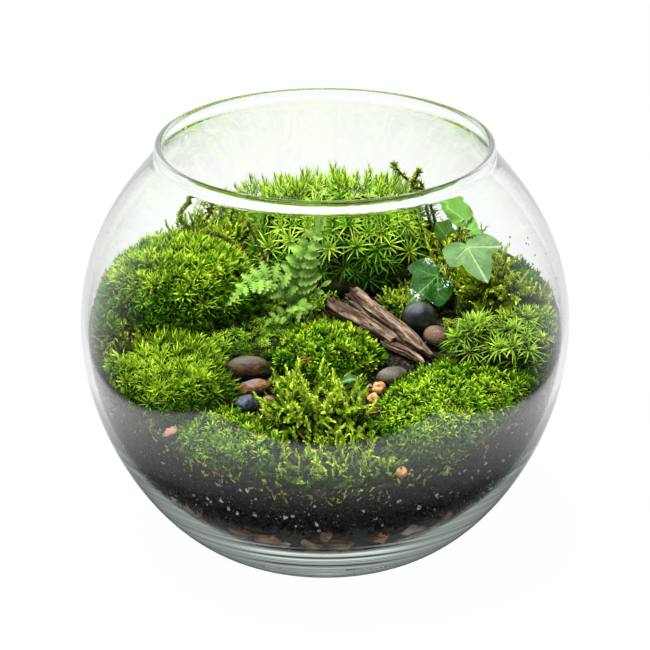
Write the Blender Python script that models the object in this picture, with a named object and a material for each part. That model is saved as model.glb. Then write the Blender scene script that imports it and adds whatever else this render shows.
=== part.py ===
"""A moss garden in a round glass bowl: glass, drainage gravel, soil, moss cushions, pebbles,
driftwood, a small fern and a sprig of ivy. Metres, +Z up, origin under the middle of the bowl's base.
"""

import math

import bmesh
import bpy
from mathutils import Matrix, Vector, noise
from mathutils.geometry import interpolate_bezier

# The bowl. Radii and heights are from the axis and from the surface that it stands on.
BOWL_RADIUS = 0.125
BOWL_HEIGHT = 0.214
EQUATOR_HEIGHT = 0.116
FOOT_RADIUS = 0.055
LIP_RADIUS = 0.0018
LIP_MIDDLE = 0.0828
FLOOR_THICKNESS = 0.0102
INNER_FLOOR_RADIUS = 0.055
WALL = 0.0032
BOWL_SEGMENTS = 64
CURVE_STEPS = 8

# Gaps between pieces that touch in the real thing.
GAP = 0.0005
GLASS_GAP = 0.0010

# The ground: a bank that rises from the front glass to the back, dished in the middle.
GRAVEL_TOP = 0.050
SOIL_FRONT = 0.078
SOIL_RISE = 0.048
SOIL_DISH = 0.014
BANK_FRONT_Y = -0.118
BANK_DEPTH = 0.150
DISH_RADIUS = 0.118

# name, centre x and y, radii along and across, turn in degrees, height at the middle and at the edge
CUSHIONS = [
    ("cushion_moss_large", -0.076, 0.024, 0.046, 0.041, 10, 0.031, 0.007),
    ("cushion_moss_front_left", -0.074, -0.051, 0.036, 0.030, 8, 0.018, 0.006),
    ("cushion_moss_center", 0.000, -0.023, 0.031, 0.022, 0, 0.013, 0.005),
    ("cushion_moss_front_right", 0.062, -0.073, 0.044, 0.033, 20, 0.016, 0.006),
    ("cushion_moss_low_left", -0.048, -0.093, 0.034, 0.022, -24, 0.009, 0.004),
    ("haircap_moss_back", 0.006, 0.076, 0.058, 0.043, 0, 0.041, 0.018),
    ("haircap_moss_right", 0.087, -0.030, 0.034, 0.026, 60, 0.015, 0.006),
    ("haircap_moss_by_fern", -0.036, -0.012, 0.024, 0.016, 0, 0.006, 0.003),
    ("feather_moss_right", 0.094, 0.020, 0.033, 0.029, 80, 0.018, 0.007),
    ("feather_moss_right_rear", 0.080, 0.068, 0.030, 0.027, 40, 0.007, 0.003),
    ("feather_moss_front", -0.004, -0.070, 0.029, 0.022, 0, 0.012, 0.005),
    ("feather_moss_low_front", 0.001, -0.101, 0.038, 0.018, 0, 0.006, 0.003),
    ("feather_moss_left_rear", -0.062, 0.082, 0.033, 0.024, -35, 0.011, 0.005),
    ("feather_moss_by_wood", 0.040, 0.017, 0.010, 0.009, -30, 0.006, 0.003),
    ("feather_moss_wood_end", -0.003, 0.022, 0.008, 0.007, 0, 0.006, 0.003),
]
CUSHION_SEGMENTS = 24
CUSHION_TOP_RINGS = (0.35, 0.62, 0.84, 1.0)
CUSHION_BOTTOM_RINGS = (1.0, 0.66, 0.33)

# name, x, y, half length, half width, half height, turn in degrees, colour
PEBBLES = [
    ("pebble_brown_oval", -0.0385, -0.0400, 0.0108, 0.0064, 0.0054, -14, (0.10, 0.06, 0.04)),
    ("pebble_red_wet", -0.0350, -0.0525, 0.0086, 0.0046, 0.0038, 0, (0.22, 0.08, 0.03)),
    ("pebble_blue_grey", -0.0385, -0.0650, 0.0056, 0.0046, 0.0042, 20, (0.05, 0.07, 0.11)),
    ("pebble_dark_small", -0.0280, -0.0605, 0.0034, 0.0028, 0.0024, 0, (0.05, 0.04, 0.04)),
    ("pebble_grey_oval", 0.0335, -0.0445, 0.0078, 0.0046, 0.0042, 28, (0.11, 0.09, 0.07)),
    ("pebble_orange", 0.0265, -0.0520, 0.0038, 0.0032, 0.0030, 0, (0.50, 0.20, 0.06)),
    ("pebble_orange_small", 0.0240, -0.0585, 0.0030, 0.0026, 0.0024, 40, (0.45, 0.18, 0.06)),
    ("pebble_black_flat", 0.0156, -0.0565, 0.0050, 0.0036, 0.0022, -20, (0.02, 0.02, 0.025)),
    ("pebble_black_round", 0.0490, -0.0031, 0.0092, 0.0086, 0.0080, 10, (0.02, 0.02, 0.02)),
    ("pebble_brown_round", 0.0568, -0.0168, 0.0070, 0.0056, 0.0050, -10, (0.20, 0.11, 0.06)),
    ("pebble_front", 0.0363, -0.1064, 0.0028, 0.0026, 0.0032, 0, (0.50, 0.25, 0.12)),
    ("pebble_tan_left", -0.0735, -0.0868, 0.0042, 0.0028, 0.0026, 30, (0.40, 0.20, 0.11)),
]

# The driftwood: a forked, split length of branch, as beams that run into each other.
# start and end as x, y and height above the soil, width, thickness
WOOD_BEAMS = [
    ((0.0142, 0.0190, 0.0095), (0.0523, -0.0334, 0.0052), 0.0105, 0.0090),
    ((0.0033, 0.0150, 0.0060), (0.0335, -0.0175, 0.0052), 0.0090, 0.0085),
    ((0.0325, -0.0195, 0.0030), (0.0493, -0.0350, 0.0025), 0.0055, 0.0040),
]
WOOD_CLEARANCE = 0.0068

FERN_CROWN = (-0.0143, 0.0040)
FERN_CROWN_RADIUS = 0.0028
IVY_BASE = (0.0620, 0.0350)
STALK_CLEARANCE = 0.0034
SHEET_THICKNESS = 0.0006

GREEN_MOSS = (0.16, 0.33, 0.02)
DARK_MOSS = (0.06, 0.15, 0.02)
LEAF_GREEN = (0.10, 0.30, 0.05)
WOOD_BROWN = (0.22, 0.15, 0.11)


def clear_scene():
    for obj in list(bpy.data.objects):
        bpy.data.objects.remove(obj, do_unlink=True)


def material(name, colour, roughness, metallic=0.0, transmission=0.0):
    """A Principled material, made once for each name."""
    found = bpy.data.materials.get(name)
    if found:
        return found
    made = bpy.data.materials.new(name)
    made.use_nodes = True
    shader = made.node_tree.nodes["Principled BSDF"]
    shader.inputs["Base Color"].default_value = (*colour, 1.0)
    shader.inputs["Roughness"].default_value = roughness
    shader.inputs["Metallic"].default_value = metallic
    shader.inputs["Transmission Weight"].default_value = transmission
    return made


def add_object(name, bm, finish, smooth=True):
    """Links the bmesh as an object with that finish."""
    mesh = bpy.data.meshes.new(name)
    bmesh.ops.recalc_face_normals(bm, faces=bm.faces)
    bm.to_mesh(mesh)
    bm.free()
    if smooth:
        mesh.shade_smooth()
        mesh.set_sharp_from_angle(angle=math.radians(40))
    mesh.materials.append(finish)
    obj = bpy.data.objects.new(name, mesh)
    bpy.context.scene.collection.objects.link(obj)
    return obj


def bezier(start, start_handle, end_handle, end):
    """Points of one arc of a profile, as (radius, height)."""
    points = [Vector((*p, 0.0)) for p in (start, start_handle, end_handle, end)]
    return [(p.x, p.y) for p in interpolate_bezier(*points, CURVE_STEPS + 1)]


def outer_profile():
    """The outside of the glass, from the foot's edge up to the lip."""
    low = bezier((FOOT_RADIUS, 0.0), (0.0815, 0.0), (BOWL_RADIUS, 0.056), (BOWL_RADIUS, EQUATOR_HEIGHT))
    lip = (LIP_MIDDLE + LIP_RADIUS, BOWL_HEIGHT - LIP_RADIUS)
    high = bezier((BOWL_RADIUS, EQUATOR_HEIGHT), (BOWL_RADIUS, 0.166), (0.0947, 0.1948), lip)
    return low + high[1:]


def inner_profile():
    """The inside of the glass, from the floor's edge up to the lip. The glass thickens towards the base."""
    radius = BOWL_RADIUS - WALL
    low = bezier(
        (INNER_FLOOR_RADIUS, FLOOR_THICKNESS),
        (0.0825, FLOOR_THICKNESS),
        (radius, 0.0585),
        (radius, EQUATOR_HEIGHT),
    )
    lip = (LIP_MIDDLE - LIP_RADIUS, BOWL_HEIGHT - LIP_RADIUS)
    high = bezier((radius, EQUATOR_HEIGHT), (radius, 0.1645), (0.0915, 0.1930), lip)
    return low + high[1:]


INNER = inner_profile()


def inner_radius(height):
    """The inside radius of the glass at a height."""
    for (r0, z0), (r1, z1) in zip(INNER, INNER[1:]):
        if height <= z1:
            share = max(0.0, (height - z0) / (z1 - z0)) if z1 > z0 else 1.0
            return r0 + share * (r1 - r0)
    return INNER[-1][0]


def soil_height(x, y):
    """The height of the soil's surface: a bank up from the front, dished in the middle."""
    share = min(1.0, max(0.0, (y - BANK_FRONT_Y) / BANK_DEPTH))
    bank = SOIL_FRONT + SOIL_RISE * share * (2.0 - share)
    dish = max(0.0, 1.0 - (x * x + y * y) / DISH_RADIUS**2)
    return bank - SOIL_DISH * dish


def soil_normal(x, y):
    step = 0.002
    slope_x = (soil_height(x + step, y) - soil_height(x - step, y)) / (2 * step)
    slope_y = (soil_height(x, y + step) - soil_height(x, y - step)) / (2 * step)
    return Vector((-slope_x, -slope_y, 1.0)).normalized()


def above_soil(x, y, height):
    return Vector((x, y, soil_height(x, y) + height))


def loft(bm, rings, first_pole, last_pole):
    """Closes a stack of rings of points into one skin, with a fan at each end."""
    loops = [[bm.verts.new(p) for p in ring] for ring in rings]
    for low, high in zip(loops, loops[1:]):
        for i, corner in enumerate(low):
            j = (i + 1) % len(low)
            bm.faces.new((corner, low[j], high[j], high[i]))
    for loop, pole in ((loops[0], first_pole), (loops[-1], last_pole)):
        tip = bm.verts.new(pole)
        for i, corner in enumerate(loop):
            bm.faces.new((tip, corner, loop[(i + 1) % len(loop)]))


def make_bowl():
    """The glass, turned as one piece round its axis."""
    lip = [
        (LIP_MIDDLE + LIP_RADIUS * math.cos(a), BOWL_HEIGHT - LIP_RADIUS + LIP_RADIUS * math.sin(a))
        for a in (math.pi / 4, math.pi / 2, 3 * math.pi / 4)
    ]
    outline = outer_profile() + lip + INNER[::-1]
    bm = bmesh.new()
    turn = [2 * math.pi * i / BOWL_SEGMENTS for i in range(BOWL_SEGMENTS)]
    rings = [[(r * math.cos(a), r * math.sin(a), z) for a in turn] for r, z in outline]
    loft(bm, rings, (0.0, 0.0, 0.0), (0.0, 0.0, FLOOR_THICKNESS))
    glass = material("clear_glass", (0.92, 0.97, 0.95), 0.02, transmission=1.0)
    add_object("glass_bowl", bm, glass)


def make_gravel():
    """The drainage layer, from the bowl's floor up to the soil."""
    floor = FLOOR_THICKNESS + GAP
    heights = [floor + (GRAVEL_TOP - floor) * share for share in (0.0, 0.06, 0.2, 0.45, 0.72, 1.0)]
    radii = [inner_radius(z) - GLASS_GAP for z in heights]
    radii[0] = INNER_FLOOR_RADIUS
    turn = [2 * math.pi * i / BOWL_SEGMENTS for i in range(BOWL_SEGMENTS)]
    rings = [[(r * math.cos(a), r * math.sin(a), z) for a in turn] for r, z in zip(radii, heights)]
    bm = bmesh.new()
    loft(bm, rings, (0.0, 0.0, floor), (0.0, 0.0, GRAVEL_TOP))
    add_object("drainage_gravel", bm, material("gravel", (0.30, 0.22, 0.15), 0.8))


def soil_edge(angle):
    """Where the soil's surface meets the glass, in this direction."""
    radius = DISH_RADIUS
    for _ in range(6):
        x, y = radius * math.cos(angle), radius * math.sin(angle)
        radius = inner_radius(soil_height(x, y)) - GLASS_GAP
    return radius


def make_soil():
    """The potting soil: its sides follow the glass and its top is the planted bank."""
    turn = [2 * math.pi * i / BOWL_SEGMENTS for i in range(BOWL_SEGMENTS)]
    edges = [soil_edge(a) for a in turn]
    bottom = GRAVEL_TOP + GAP
    rings = []
    for share in (0.0, 0.25, 0.5, 0.75):
        ring = []
        for a, edge in zip(turn, edges):
            top = soil_height(edge * math.cos(a), edge * math.sin(a))
            z = bottom + share * (top - bottom)
            r = inner_radius(z) - GLASS_GAP
            ring.append((r * math.cos(a), r * math.sin(a), z))
        rings.append(ring)
    for share in (1.0, 0.86, 0.7, 0.53, 0.36, 0.18):
        ring = []
        for a, edge in zip(turn, edges):
            x, y = share * edge * math.cos(a), share * edge * math.sin(a)
            ring.append((x, y, soil_height(x, y)))
        rings.append(ring)
    bm = bmesh.new()
    loft(bm, rings, (0.0, 0.0, bottom), (0.0, 0.0, soil_height(0.0, 0.0)))
    add_object("potting_soil", bm, material("soil", (0.035, 0.025, 0.018), 0.95))


def obstacles():
    """Circles on the ground that moss grows round: pebbles, wood, fern and ivy."""
    found = [(x, y, max(a, b) + GAP) for _, x, y, a, b, _, _, _ in PEBBLES]
    for start, end, width, _ in WOOD_BEAMS[:2]:
        for step in range(8):
            share = step / 7
            x = start[0] + share * (end[0] - start[0])
            y = start[1] + share * (end[1] - start[1])
            found.append((x, y, WOOD_CLEARANCE * width / WOOD_BEAMS[0][2]))
    found.append((*FERN_CROWN, FERN_CROWN_RADIUS + 0.0024))
    found.append((*IVY_BASE, STALK_CLEARANCE))
    found += [(*route[0][:2], STALK_CLEARANCE) for _, route, _, _ in TWIGS]
    return found


def reach(x, y, radius, angle, neighbours, stones):
    """How far a cushion may grow from (x, y) along angle: to the border with a neighbour, or to a stone."""
    best = math.inf
    for other_x, other_y, other_radius in neighbours:
        dx, dy = other_x - x, other_y - y
        apart = math.hypot(dx, dy)
        border = (apart**2 + radius**2 - other_radius**2) / (2 * apart) - GAP
        facing = (dx * math.cos(angle) + dy * math.sin(angle)) / apart
        if facing > 0:
            best = min(best, border / facing)
    for other_x, other_y, other_radius in stones:
        dx, dy = other_x - x, other_y - y
        apart = math.hypot(dx, dy)
        facing = (dx * math.cos(angle) + dy * math.sin(angle)) / apart
        if facing > 0:
            best = min(best, (apart - other_radius - GAP) / facing)
    return best


def inside_glass(x, y, distance, angle, side):
    """Shortens distance until a side of that height is clear of the glass."""
    for _ in range(40):
        end_x, end_y = x + distance * math.cos(angle), y + distance * math.sin(angle)
        foot = soil_height(end_x, end_y)
        if math.hypot(end_x, end_y) <= min(inner_radius(foot), inner_radius(foot + side)) - 2 * GLASS_GAP:
            break
        distance *= 0.98
    return distance


def make_cushion(name, x, y, along, across, turn, height, side):
    """One clump of moss: a low dome on the soil, pressed against its neighbours and the glass."""
    size = {row[0]: (row[1], row[2], (row[3] + row[4]) / 2) for row in CUSHIONS}
    neighbours = [circle for other, circle in size.items() if other != name]
    stones = obstacles()
    edge = []
    for i in range(CUSHION_SEGMENTS):
        angle = 2 * math.pi * i / CUSHION_SEGMENTS
        own = angle - math.radians(turn)
        ellipse = 1.0 / math.hypot(math.cos(own) / along, math.sin(own) / across)
        limit = min(ellipse, reach(x, y, size[name][2], angle, neighbours, stones))
        edge.append((angle, inside_glass(x, y, limit, angle, side)))
    rings = []
    for share in reversed(CUSHION_BOTTOM_RINGS):
        places = [(x + share * d * math.cos(a), y + share * d * math.sin(a)) for a, d in edge]
        rings.append([above_soil(px, py, GAP) for px, py in places])
    top = soil_height(x, y) + GAP + height
    for share in reversed(CUSHION_TOP_RINGS):
        bulge = (1.0 - share**2.4) ** 0.6
        ring = []
        for a, d in edge:
            foot = soil_height(x + d * math.cos(a), y + d * math.sin(a)) + GAP + side
            height = foot + bulge * (top - foot)
            ring.append((x + share * d * math.cos(a), y + share * d * math.sin(a), height))
        rings.append(ring)
    bm = bmesh.new()
    loft(bm, rings, above_soil(x, y, GAP), (x, y, top))
    dark = name.startswith("haircap")
    finish = material("haircap_moss" if dark else "cushion_moss", DARK_MOSS if dark else GREEN_MOSS, 0.8)
    add_object(name, bm, finish)


def make_pebble(name, x, y, length, width, height, turn, colour):
    """A water-worn stone, lying on the slope."""
    bm = bmesh.new()
    bmesh.ops.create_icosphere(bm, subdivisions=2, radius=1.0)
    for vert in bm.verts:
        vert.co *= 1.0 + 0.05 * noise.noise(vert.co * 1.3 + Vector((x, y, 0.0)) * 900)
    bmesh.ops.scale(bm, vec=(length, width, height), verts=bm.verts)
    up = soil_normal(x, y)
    rotation = up.to_track_quat("Z", "Y").to_matrix() @ Matrix.Rotation(math.radians(turn), 3, "Z")
    bmesh.ops.rotate(bm, cent=(0, 0, 0), matrix=rotation, verts=bm.verts)
    ground = above_soil(x, y, 0.0)
    lowest = min((vert.co - Vector((0, 0, 0))).dot(up) for vert in bm.verts)
    bmesh.ops.translate(bm, vec=ground + up * (GAP - lowest), verts=bm.verts)
    add_object(name, bm, material(name, colour, 0.45))


def wood_beam(name, start, end, width, thickness):
    """A rough length of branch: an eight-sided beam, thickest near its lower end."""
    begin, finish = above_soil(*start), above_soil(*end)
    along = (finish - begin).normalized()
    side = along.cross(Vector((0, 0, 1))).normalized()
    up = side.cross(along)
    rings = []
    for share, swell in ((0.0, 0.80), (0.12, 0.98), (0.4, 1.0), (0.7, 1.06), (0.9, 0.8), (1.0, 0.42)):
        centre = begin.lerp(finish, share)
        ring = []
        for i in range(8):
            angle = 2 * math.pi * (i + 0.5) / 8
            ring.append(
                centre
                + side * (0.5 * width * swell * math.cos(angle))
                + up * (0.5 * thickness * swell * math.sin(angle))
            )
        rings.append(ring)
    bm = bmesh.new()
    loft(bm, rings, begin, finish)
    return add_object(name, bm, material("driftwood", WOOD_BROWN, 0.85))


def make_driftwood():
    """One forked piece: the other beams are joined to the first."""
    main, *others = [wood_beam(f"driftwood_{i}", *row) for i, row in enumerate(WOOD_BEAMS)]
    main.name = "driftwood"
    for other in others:
        other.hide_render = True
        other.display_type = "WIRE"
        join = main.modifiers.new("join", "BOOLEAN")
        join.operation = "UNION"
        join.solver = "EXACT"
        join.object = other


def sheet_strip(name, path, half_widths, side, finish):
    """A leaf with its stalk: a thin strip along path, with a half width at each of its points."""
    bm = bmesh.new()
    rows = []
    for point, half in zip(path, half_widths):
        left, right = point - side * half, point + side * half
        rows.append([bm.verts.new(left), bm.verts.new(point), bm.verts.new(right)])
    for low, high in zip(rows, rows[1:]):
        bm.faces.new((low[0], low[1], high[1], high[0]))
        bm.faces.new((low[1], low[2], high[2], high[1]))
    obj = add_object(name, bm, finish)
    thicken = obj.modifiers.new("thickness", "SOLIDIFY")
    thicken.thickness = SHEET_THICKNESS
    thicken.offset = 0.0
    return obj


def curve_points(points, count):
    """Evenly numbered points on a smooth line through start, two handles and end."""
    return interpolate_bezier(*[Vector(p) for p in points], count)


# name, base angle round the crown, two handles and the tip, the frond's half width, pinnae on each side
FRONDS = [
    (
        "fern_frond_tall", 75,
        (-0.0162, 0.0060, 0.1320), (-0.0150, 0.0080, 0.1480), (0.0010, 0.0100, 0.1670),
        0.0105, 8,
    ),
    (
        "fern_frond_left", 165,
        (-0.0200, 0.0020, 0.1420), (-0.0340, -0.0040, 0.1480), (-0.0500, -0.0110, 0.1290),
        0.0100, 7,
    ),
    (
        "fern_frond_low", 290,
        (-0.0135, -0.0010, 0.1230), (-0.0130, -0.0040, 0.1290), (-0.0134, -0.0080, 0.1225),
        0.0065, 4,
    ),
    (
        "fern_frond_right", 15,
        (-0.0090, 0.0060, 0.1230), (-0.0040, 0.0070, 0.1310), (0.0010, 0.0080, 0.1330),
        0.0050, 4,
    ),
    (
        "fern_frond_young", 225,
        (-0.0190, -0.0020, 0.1200), (-0.0240, -0.0060, 0.1240), (-0.0300, -0.0110, 0.1190),
        0.0045, 4,
    ),
]
FROND_STALK = 0.0006


def make_fern():
    """A small fern: a crown in the soil with its fronds round it."""
    x, y = FERN_CROWN
    bm = bmesh.new()
    bmesh.ops.create_icosphere(bm, subdivisions=2, radius=FERN_CROWN_RADIUS)
    lowest = min(vert.co.z for vert in bm.verts)
    bmesh.ops.translate(bm, vec=above_soil(x, y, GAP - lowest), verts=bm.verts)
    add_object("fern_crown", bm, material("fern_crown", (0.10, 0.06, 0.03), 0.9))
    finish = material("fern", LEAF_GREEN, 0.5)
    for name, angle, handle, tip_handle, tip, half, pinnae in FRONDS:
        round_crown = FERN_CROWN_RADIUS + 0.0014
        base_x = x + round_crown * math.cos(math.radians(angle))
        base_y = y + round_crown * math.sin(math.radians(angle))
        stalk_rows = 4
        count = stalk_rows + 3 * pinnae + 1
        path = curve_points((above_soil(base_x, base_y, 3 * GAP), handle, tip_handle, tip), count)
        widths = []
        for i in range(count):
            blade = (i - stalk_rows) / (count - 1 - stalk_rows)
            outline = half * min(1.0, 0.55 + 1.6 * blade) * (1.0 - blade) ** 0.75
            lobed = (0.45, 1.0, 0.85)[(i - stalk_rows) % 3]
            widths.append(max(FROND_STALK, outline * lobed) if blade > 0 else FROND_STALK)
        run = path[-1] - path[0]
        side = run.cross(Vector((0.0, 1.0, 0.35))).normalized()
        sheet_strip(name, path, widths, side, finish)


# name, where it leaves the stem, blade's base, blade's tip, way that the blade faces
IVY_LEAVES = [
    ("ivy_leaf_large", 0.62, (0.0735, 0.0145, 0.1502), (0.0845, 0.0035, 0.1360), (0.00, -0.68, 0.52)),
    ("ivy_leaf_low", 0.40, (0.0583, 0.0160, 0.1335), (0.0440, 0.0050, 0.1245), (0.06, -0.68, 0.73)),
    ("ivy_leaf_top", 1.00, (0.0735, 0.0360, 0.1560), (0.0590, 0.0390, 0.1650), (-0.10, -0.80, 0.60)),
    ("ivy_leaf_side", 0.80, (0.0632, 0.0270, 0.1506), (0.0580, 0.0260, 0.1577), (-0.20, -0.80, 0.50)),
    ("ivy_leaf_young", 0.92, (0.0765, 0.0340, 0.1510), (0.0830, 0.0330, 0.1500), (0.20, -0.80, 0.50)),
]
IVY_STEM_HANDLES = ((0.0640, 0.0345, 0.1320), (0.0690, 0.0340, 0.1420))
IVY_STEM_TIP = (0.0716, 0.0350, 0.1530)
IVY_STEM_RADIUS = 0.0008
STALK_HALF_WIDTH = 0.0005
# One side of an ivy blade, in lengths of its midrib: along it and out from it
IVY_OUTLINE = ((-0.22, 0.30), (-0.16, 0.56), (0.08, 0.62), (0.38, 0.80), (0.44, 0.42), (0.70, 0.26))


def tube(name, points, radius, finish, end_radius=None):
    """A stalk or twig: a round tube along the points, tapering to end_radius."""
    curve = bpy.data.curves.new(name, "CURVE")
    curve.dimensions = "3D"
    curve.bevel_depth = radius
    curve.bevel_resolution = 1
    curve.use_fill_caps = True
    spline = curve.splines.new("POLY")
    spline.points.add(len(points) - 1)
    for i, point in enumerate(points):
        spline.points[i].co = (*point, 1.0)
        share = i / (len(points) - 1)
        spline.points[i].radius = 1.0 + share * ((end_radius or radius) / radius - 1.0)
    curve.materials.append(finish)
    obj = bpy.data.objects.new(name, curve)
    bpy.context.scene.collection.objects.link(obj)
    return obj


def make_ivy():
    """A sprig of ivy: one stem, and leaves on stalks that start beside it."""
    finish = material("ivy", LEAF_GREEN, 0.35)
    base = above_soil(*IVY_BASE, 1.6 * GAP)
    stem = curve_points((base, *IVY_STEM_HANDLES, IVY_STEM_TIP), 14)
    tube("ivy_stem", stem, IVY_STEM_RADIUS, material("ivy_stem", (0.20, 0.13, 0.06), 0.7))
    for name, share, blade_base, tip, facing in IVY_LEAVES:
        blade_base, tip = Vector(blade_base), Vector(tip)
        leaves_stem = stem[min(len(stem) - 1, round(share * (len(stem) - 1)))]
        away = (blade_base - leaves_stem).normalized()
        start = leaves_stem + away * (IVY_STEM_RADIUS + 2 * GAP)
        lobed_leaf(name, start, blade_base, tip, Vector(facing), finish)


def lobed_leaf(name, stalk_start, blade_base, tip, facing, finish):
    """A stalk and a lobed blade, folded a little along the midrib, as one thin sheet."""
    midrib = tip - blade_base
    side = midrib.cross(facing).normalized()
    up = side.cross(midrib).normalized()
    bm = bmesh.new()
    corners = []
    for point in (stalk_start, stalk_start.lerp(blade_base, 0.5), blade_base):
        corners.append([bm.verts.new(point + side * (STALK_HALF_WIDTH * k)) for k in (-1, 0, 1)])
    for low, high in zip(corners, corners[1:]):
        bm.faces.new((low[0], low[1], high[1], high[0]))
        bm.faces.new((low[1], low[2], high[2], high[1]))
    left, middle, right = corners[-1]
    end = bm.verts.new(tip)
    for way, first in ((-1, left), (1, right)):
        outward = side * way + up * 0.2
        width = midrib.length
        rim = [bm.verts.new(blade_base + midrib * a + outward * (width * b)) for a, b in IVY_OUTLINE]
        for start, finish_corner in zip([first, *rim], [*rim, end]):
            bm.faces.new((middle, start, finish_corner))
    obj = add_object(name, bm, finish)
    thicken = obj.modifiers.new("thickness", "SOLIDIFY")
    thicken.thickness = SHEET_THICKNESS
    thicken.offset = 0.0
    return obj


# name, points as x, y and height above the soil, radius, end radius
TWIGS = [
    (
        "twig_looped",
        [(-0.046, 0.058, 0.001), (-0.048, 0.059, 0.012), (-0.058, 0.062, 0.017), (-0.072, 0.066, 0.016),
         (-0.079, 0.067, 0.020), (-0.078, 0.068, 0.026), (-0.070, 0.068, 0.031), (-0.062, 0.067, 0.025)],
        0.0009, 0.0006,
    ),
    (
        "twig_mossy",
        [(-0.026, 0.034, 0.001), (-0.032, 0.038, 0.019), (-0.042, 0.043, 0.035)],
        0.0011, 0.0006,
    ),
    (
        "stalk_back_left",
        [(0.060, 0.088, 0.001), (0.053, 0.088, 0.034), (0.0455, 0.086, 0.039), (0.0365, 0.0835, 0.0505)],
        0.0006, 0.0005,
    ),
    (
        "stalk_back_right",
        [(0.064, 0.080, 0.001), (0.056, 0.082, 0.032), (0.0475, 0.083, 0.037), (0.0512, 0.080, 0.0475)],
        0.0006, 0.0005,
    ),
]


def make_twigs():
    finish = material("twig", (0.16, 0.12, 0.04), 0.8)
    for name, route, radius, end_radius in TWIGS:
        knots = [above_soil(x, y, h) for x, y, h in route]
        points = []
        for start, end in zip(knots, knots[1:]):
            points += [start.lerp(end, share) for share in (0.0, 0.5)]
        tube(name, points + [knots[-1]], radius, finish, end_radius)


def make_fallen_leaf():
    """One small leaf lying between the front cushions."""
    start, end = above_soil(0.0062, -0.0500, 0.0012), above_soil(0.0172, -0.0480, 0.0018)
    widths = (0.0004, 0.0018, 0.0024, 0.0022, 0.0004)
    path = [start.lerp(end, i / 4) + Vector((0, 0, 0.0012 * math.sin(math.pi * i / 4))) for i in range(5)]
    across = Vector((0.0, 0.9, 0.4)).normalized()
    sheet_strip("fallen_leaf", path, widths, across, material("leaf", LEAF_GREEN, 0.5))


def main():
    clear_scene()
    make_bowl()
    make_gravel()
    make_soil()
    for row in CUSHIONS:
        make_cushion(*row)
    for row in PEBBLES:
        make_pebble(*row)
    make_driftwood()
    make_fern()
    make_ivy()
    make_twigs()
    make_fallen_leaf()


main()
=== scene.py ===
import math
import random
from functools import cache

import bmesh
import bpy
import numpy as np
from mathutils import Matrix, Vector, noise
from mathutils.bvhtree import BVHTree
from mathutils.geometry import interpolate_bezier


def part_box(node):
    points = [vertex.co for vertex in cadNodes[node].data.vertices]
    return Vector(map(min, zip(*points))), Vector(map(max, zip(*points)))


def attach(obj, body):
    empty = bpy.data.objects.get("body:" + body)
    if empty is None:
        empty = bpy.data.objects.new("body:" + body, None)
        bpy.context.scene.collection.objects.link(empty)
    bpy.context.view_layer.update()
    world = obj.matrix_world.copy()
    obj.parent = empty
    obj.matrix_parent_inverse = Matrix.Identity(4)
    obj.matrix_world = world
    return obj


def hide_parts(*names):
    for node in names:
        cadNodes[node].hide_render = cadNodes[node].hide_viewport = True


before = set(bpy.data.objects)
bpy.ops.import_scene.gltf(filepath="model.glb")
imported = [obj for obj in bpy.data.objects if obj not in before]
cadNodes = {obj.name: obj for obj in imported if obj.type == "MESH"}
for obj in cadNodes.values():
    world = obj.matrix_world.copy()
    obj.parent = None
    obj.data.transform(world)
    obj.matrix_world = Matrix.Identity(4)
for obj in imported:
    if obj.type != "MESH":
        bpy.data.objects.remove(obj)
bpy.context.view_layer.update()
scatterDice = np.random.default_rng(11)
dice = random.Random(11)
upward = Vector((0, 0, 1))
fullTurn = 2 * math.pi
frontAngle = -math.pi / 2
print("frame loaded:", len(cadNodes), "nodes")


bowlShape = {
    "outerLow": ((0.055, 0.0), (0.0815, 0.0), (0.125, 0.056), (0.125, 0.116)),
    "outerHigh": ((0.125, 0.116), (0.125, 0.166), (0.0958, 0.1926), (0.0864, 0.2058)),
    "innerLow": ((0.055, 0.0102), (0.0825, 0.0102), (0.1218, 0.0585), (0.1218, 0.116)),
    "innerHigh": ((0.1218, 0.116), (0.1218, 0.1645), (0.094, 0.1902), (0.0846, 0.2046)),
    "lip": (
        (0.0856, 0.2067), (0.0851, 0.2075), (0.0848, 0.2084), (0.0847, 0.2094), (0.0848, 0.2105), (0.0849, 0.2116),
        (0.0847, 0.2128), (0.0841, 0.2137), (0.0832, 0.214), (0.0822, 0.2138), (0.0813, 0.2131), (0.0808, 0.2121),
        (0.0809, 0.2109), (0.0814, 0.2098), (0.0821, 0.2086), (0.0829, 0.2073), (0.0837, 0.206),
    ),
    "floor": 0.0102,
    "steps": 26,  # along each quarter of the outline
    "turns": 176,  # round the bowl
    "punt": 0.0012,  # how far the underside is hollowed
    "puntRadius": 0.052,
}
# radius of its edge, height at the front, rise to the back, length of the rise, depth of the dish in its top
soilShape = {"reach": 0.118, "front": 0.078, "rise": 0.048, "run": 0.15, "dish": 0.014}


def bezierLine(corners, steps):
    a, b, c, d = [np.array(corner, float) for corner in corners]
    t = np.linspace(0, 1, steps + 1)[:, None]
    return (1 - t) ** 3 * a + 3 * (1 - t) ** 2 * t * b + 3 * (1 - t) * t * t * c + t**3 * d


innerLine = np.concatenate([bezierLine(bowlShape["innerLow"], 60), bezierLine(bowlShape["innerHigh"], 60)[1:]])


def wallRadius(height):
    return np.interp(height, innerLine[:, 1], innerLine[:, 0])


def keepInside(points, gap, sideGap):
    reach = np.hypot(points[:, 0], points[:, 1])
    aside = np.clip(2 * np.abs(points[:, 0]) / np.maximum(reach, 1e-9) - 1, 0, 1)
    limit = wallRadius(points[:, 2]) - gap - sideGap * aside
    points[:, :2] *= np.minimum(1.0, limit / np.maximum(reach, 1e-9))[:, None]


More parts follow.
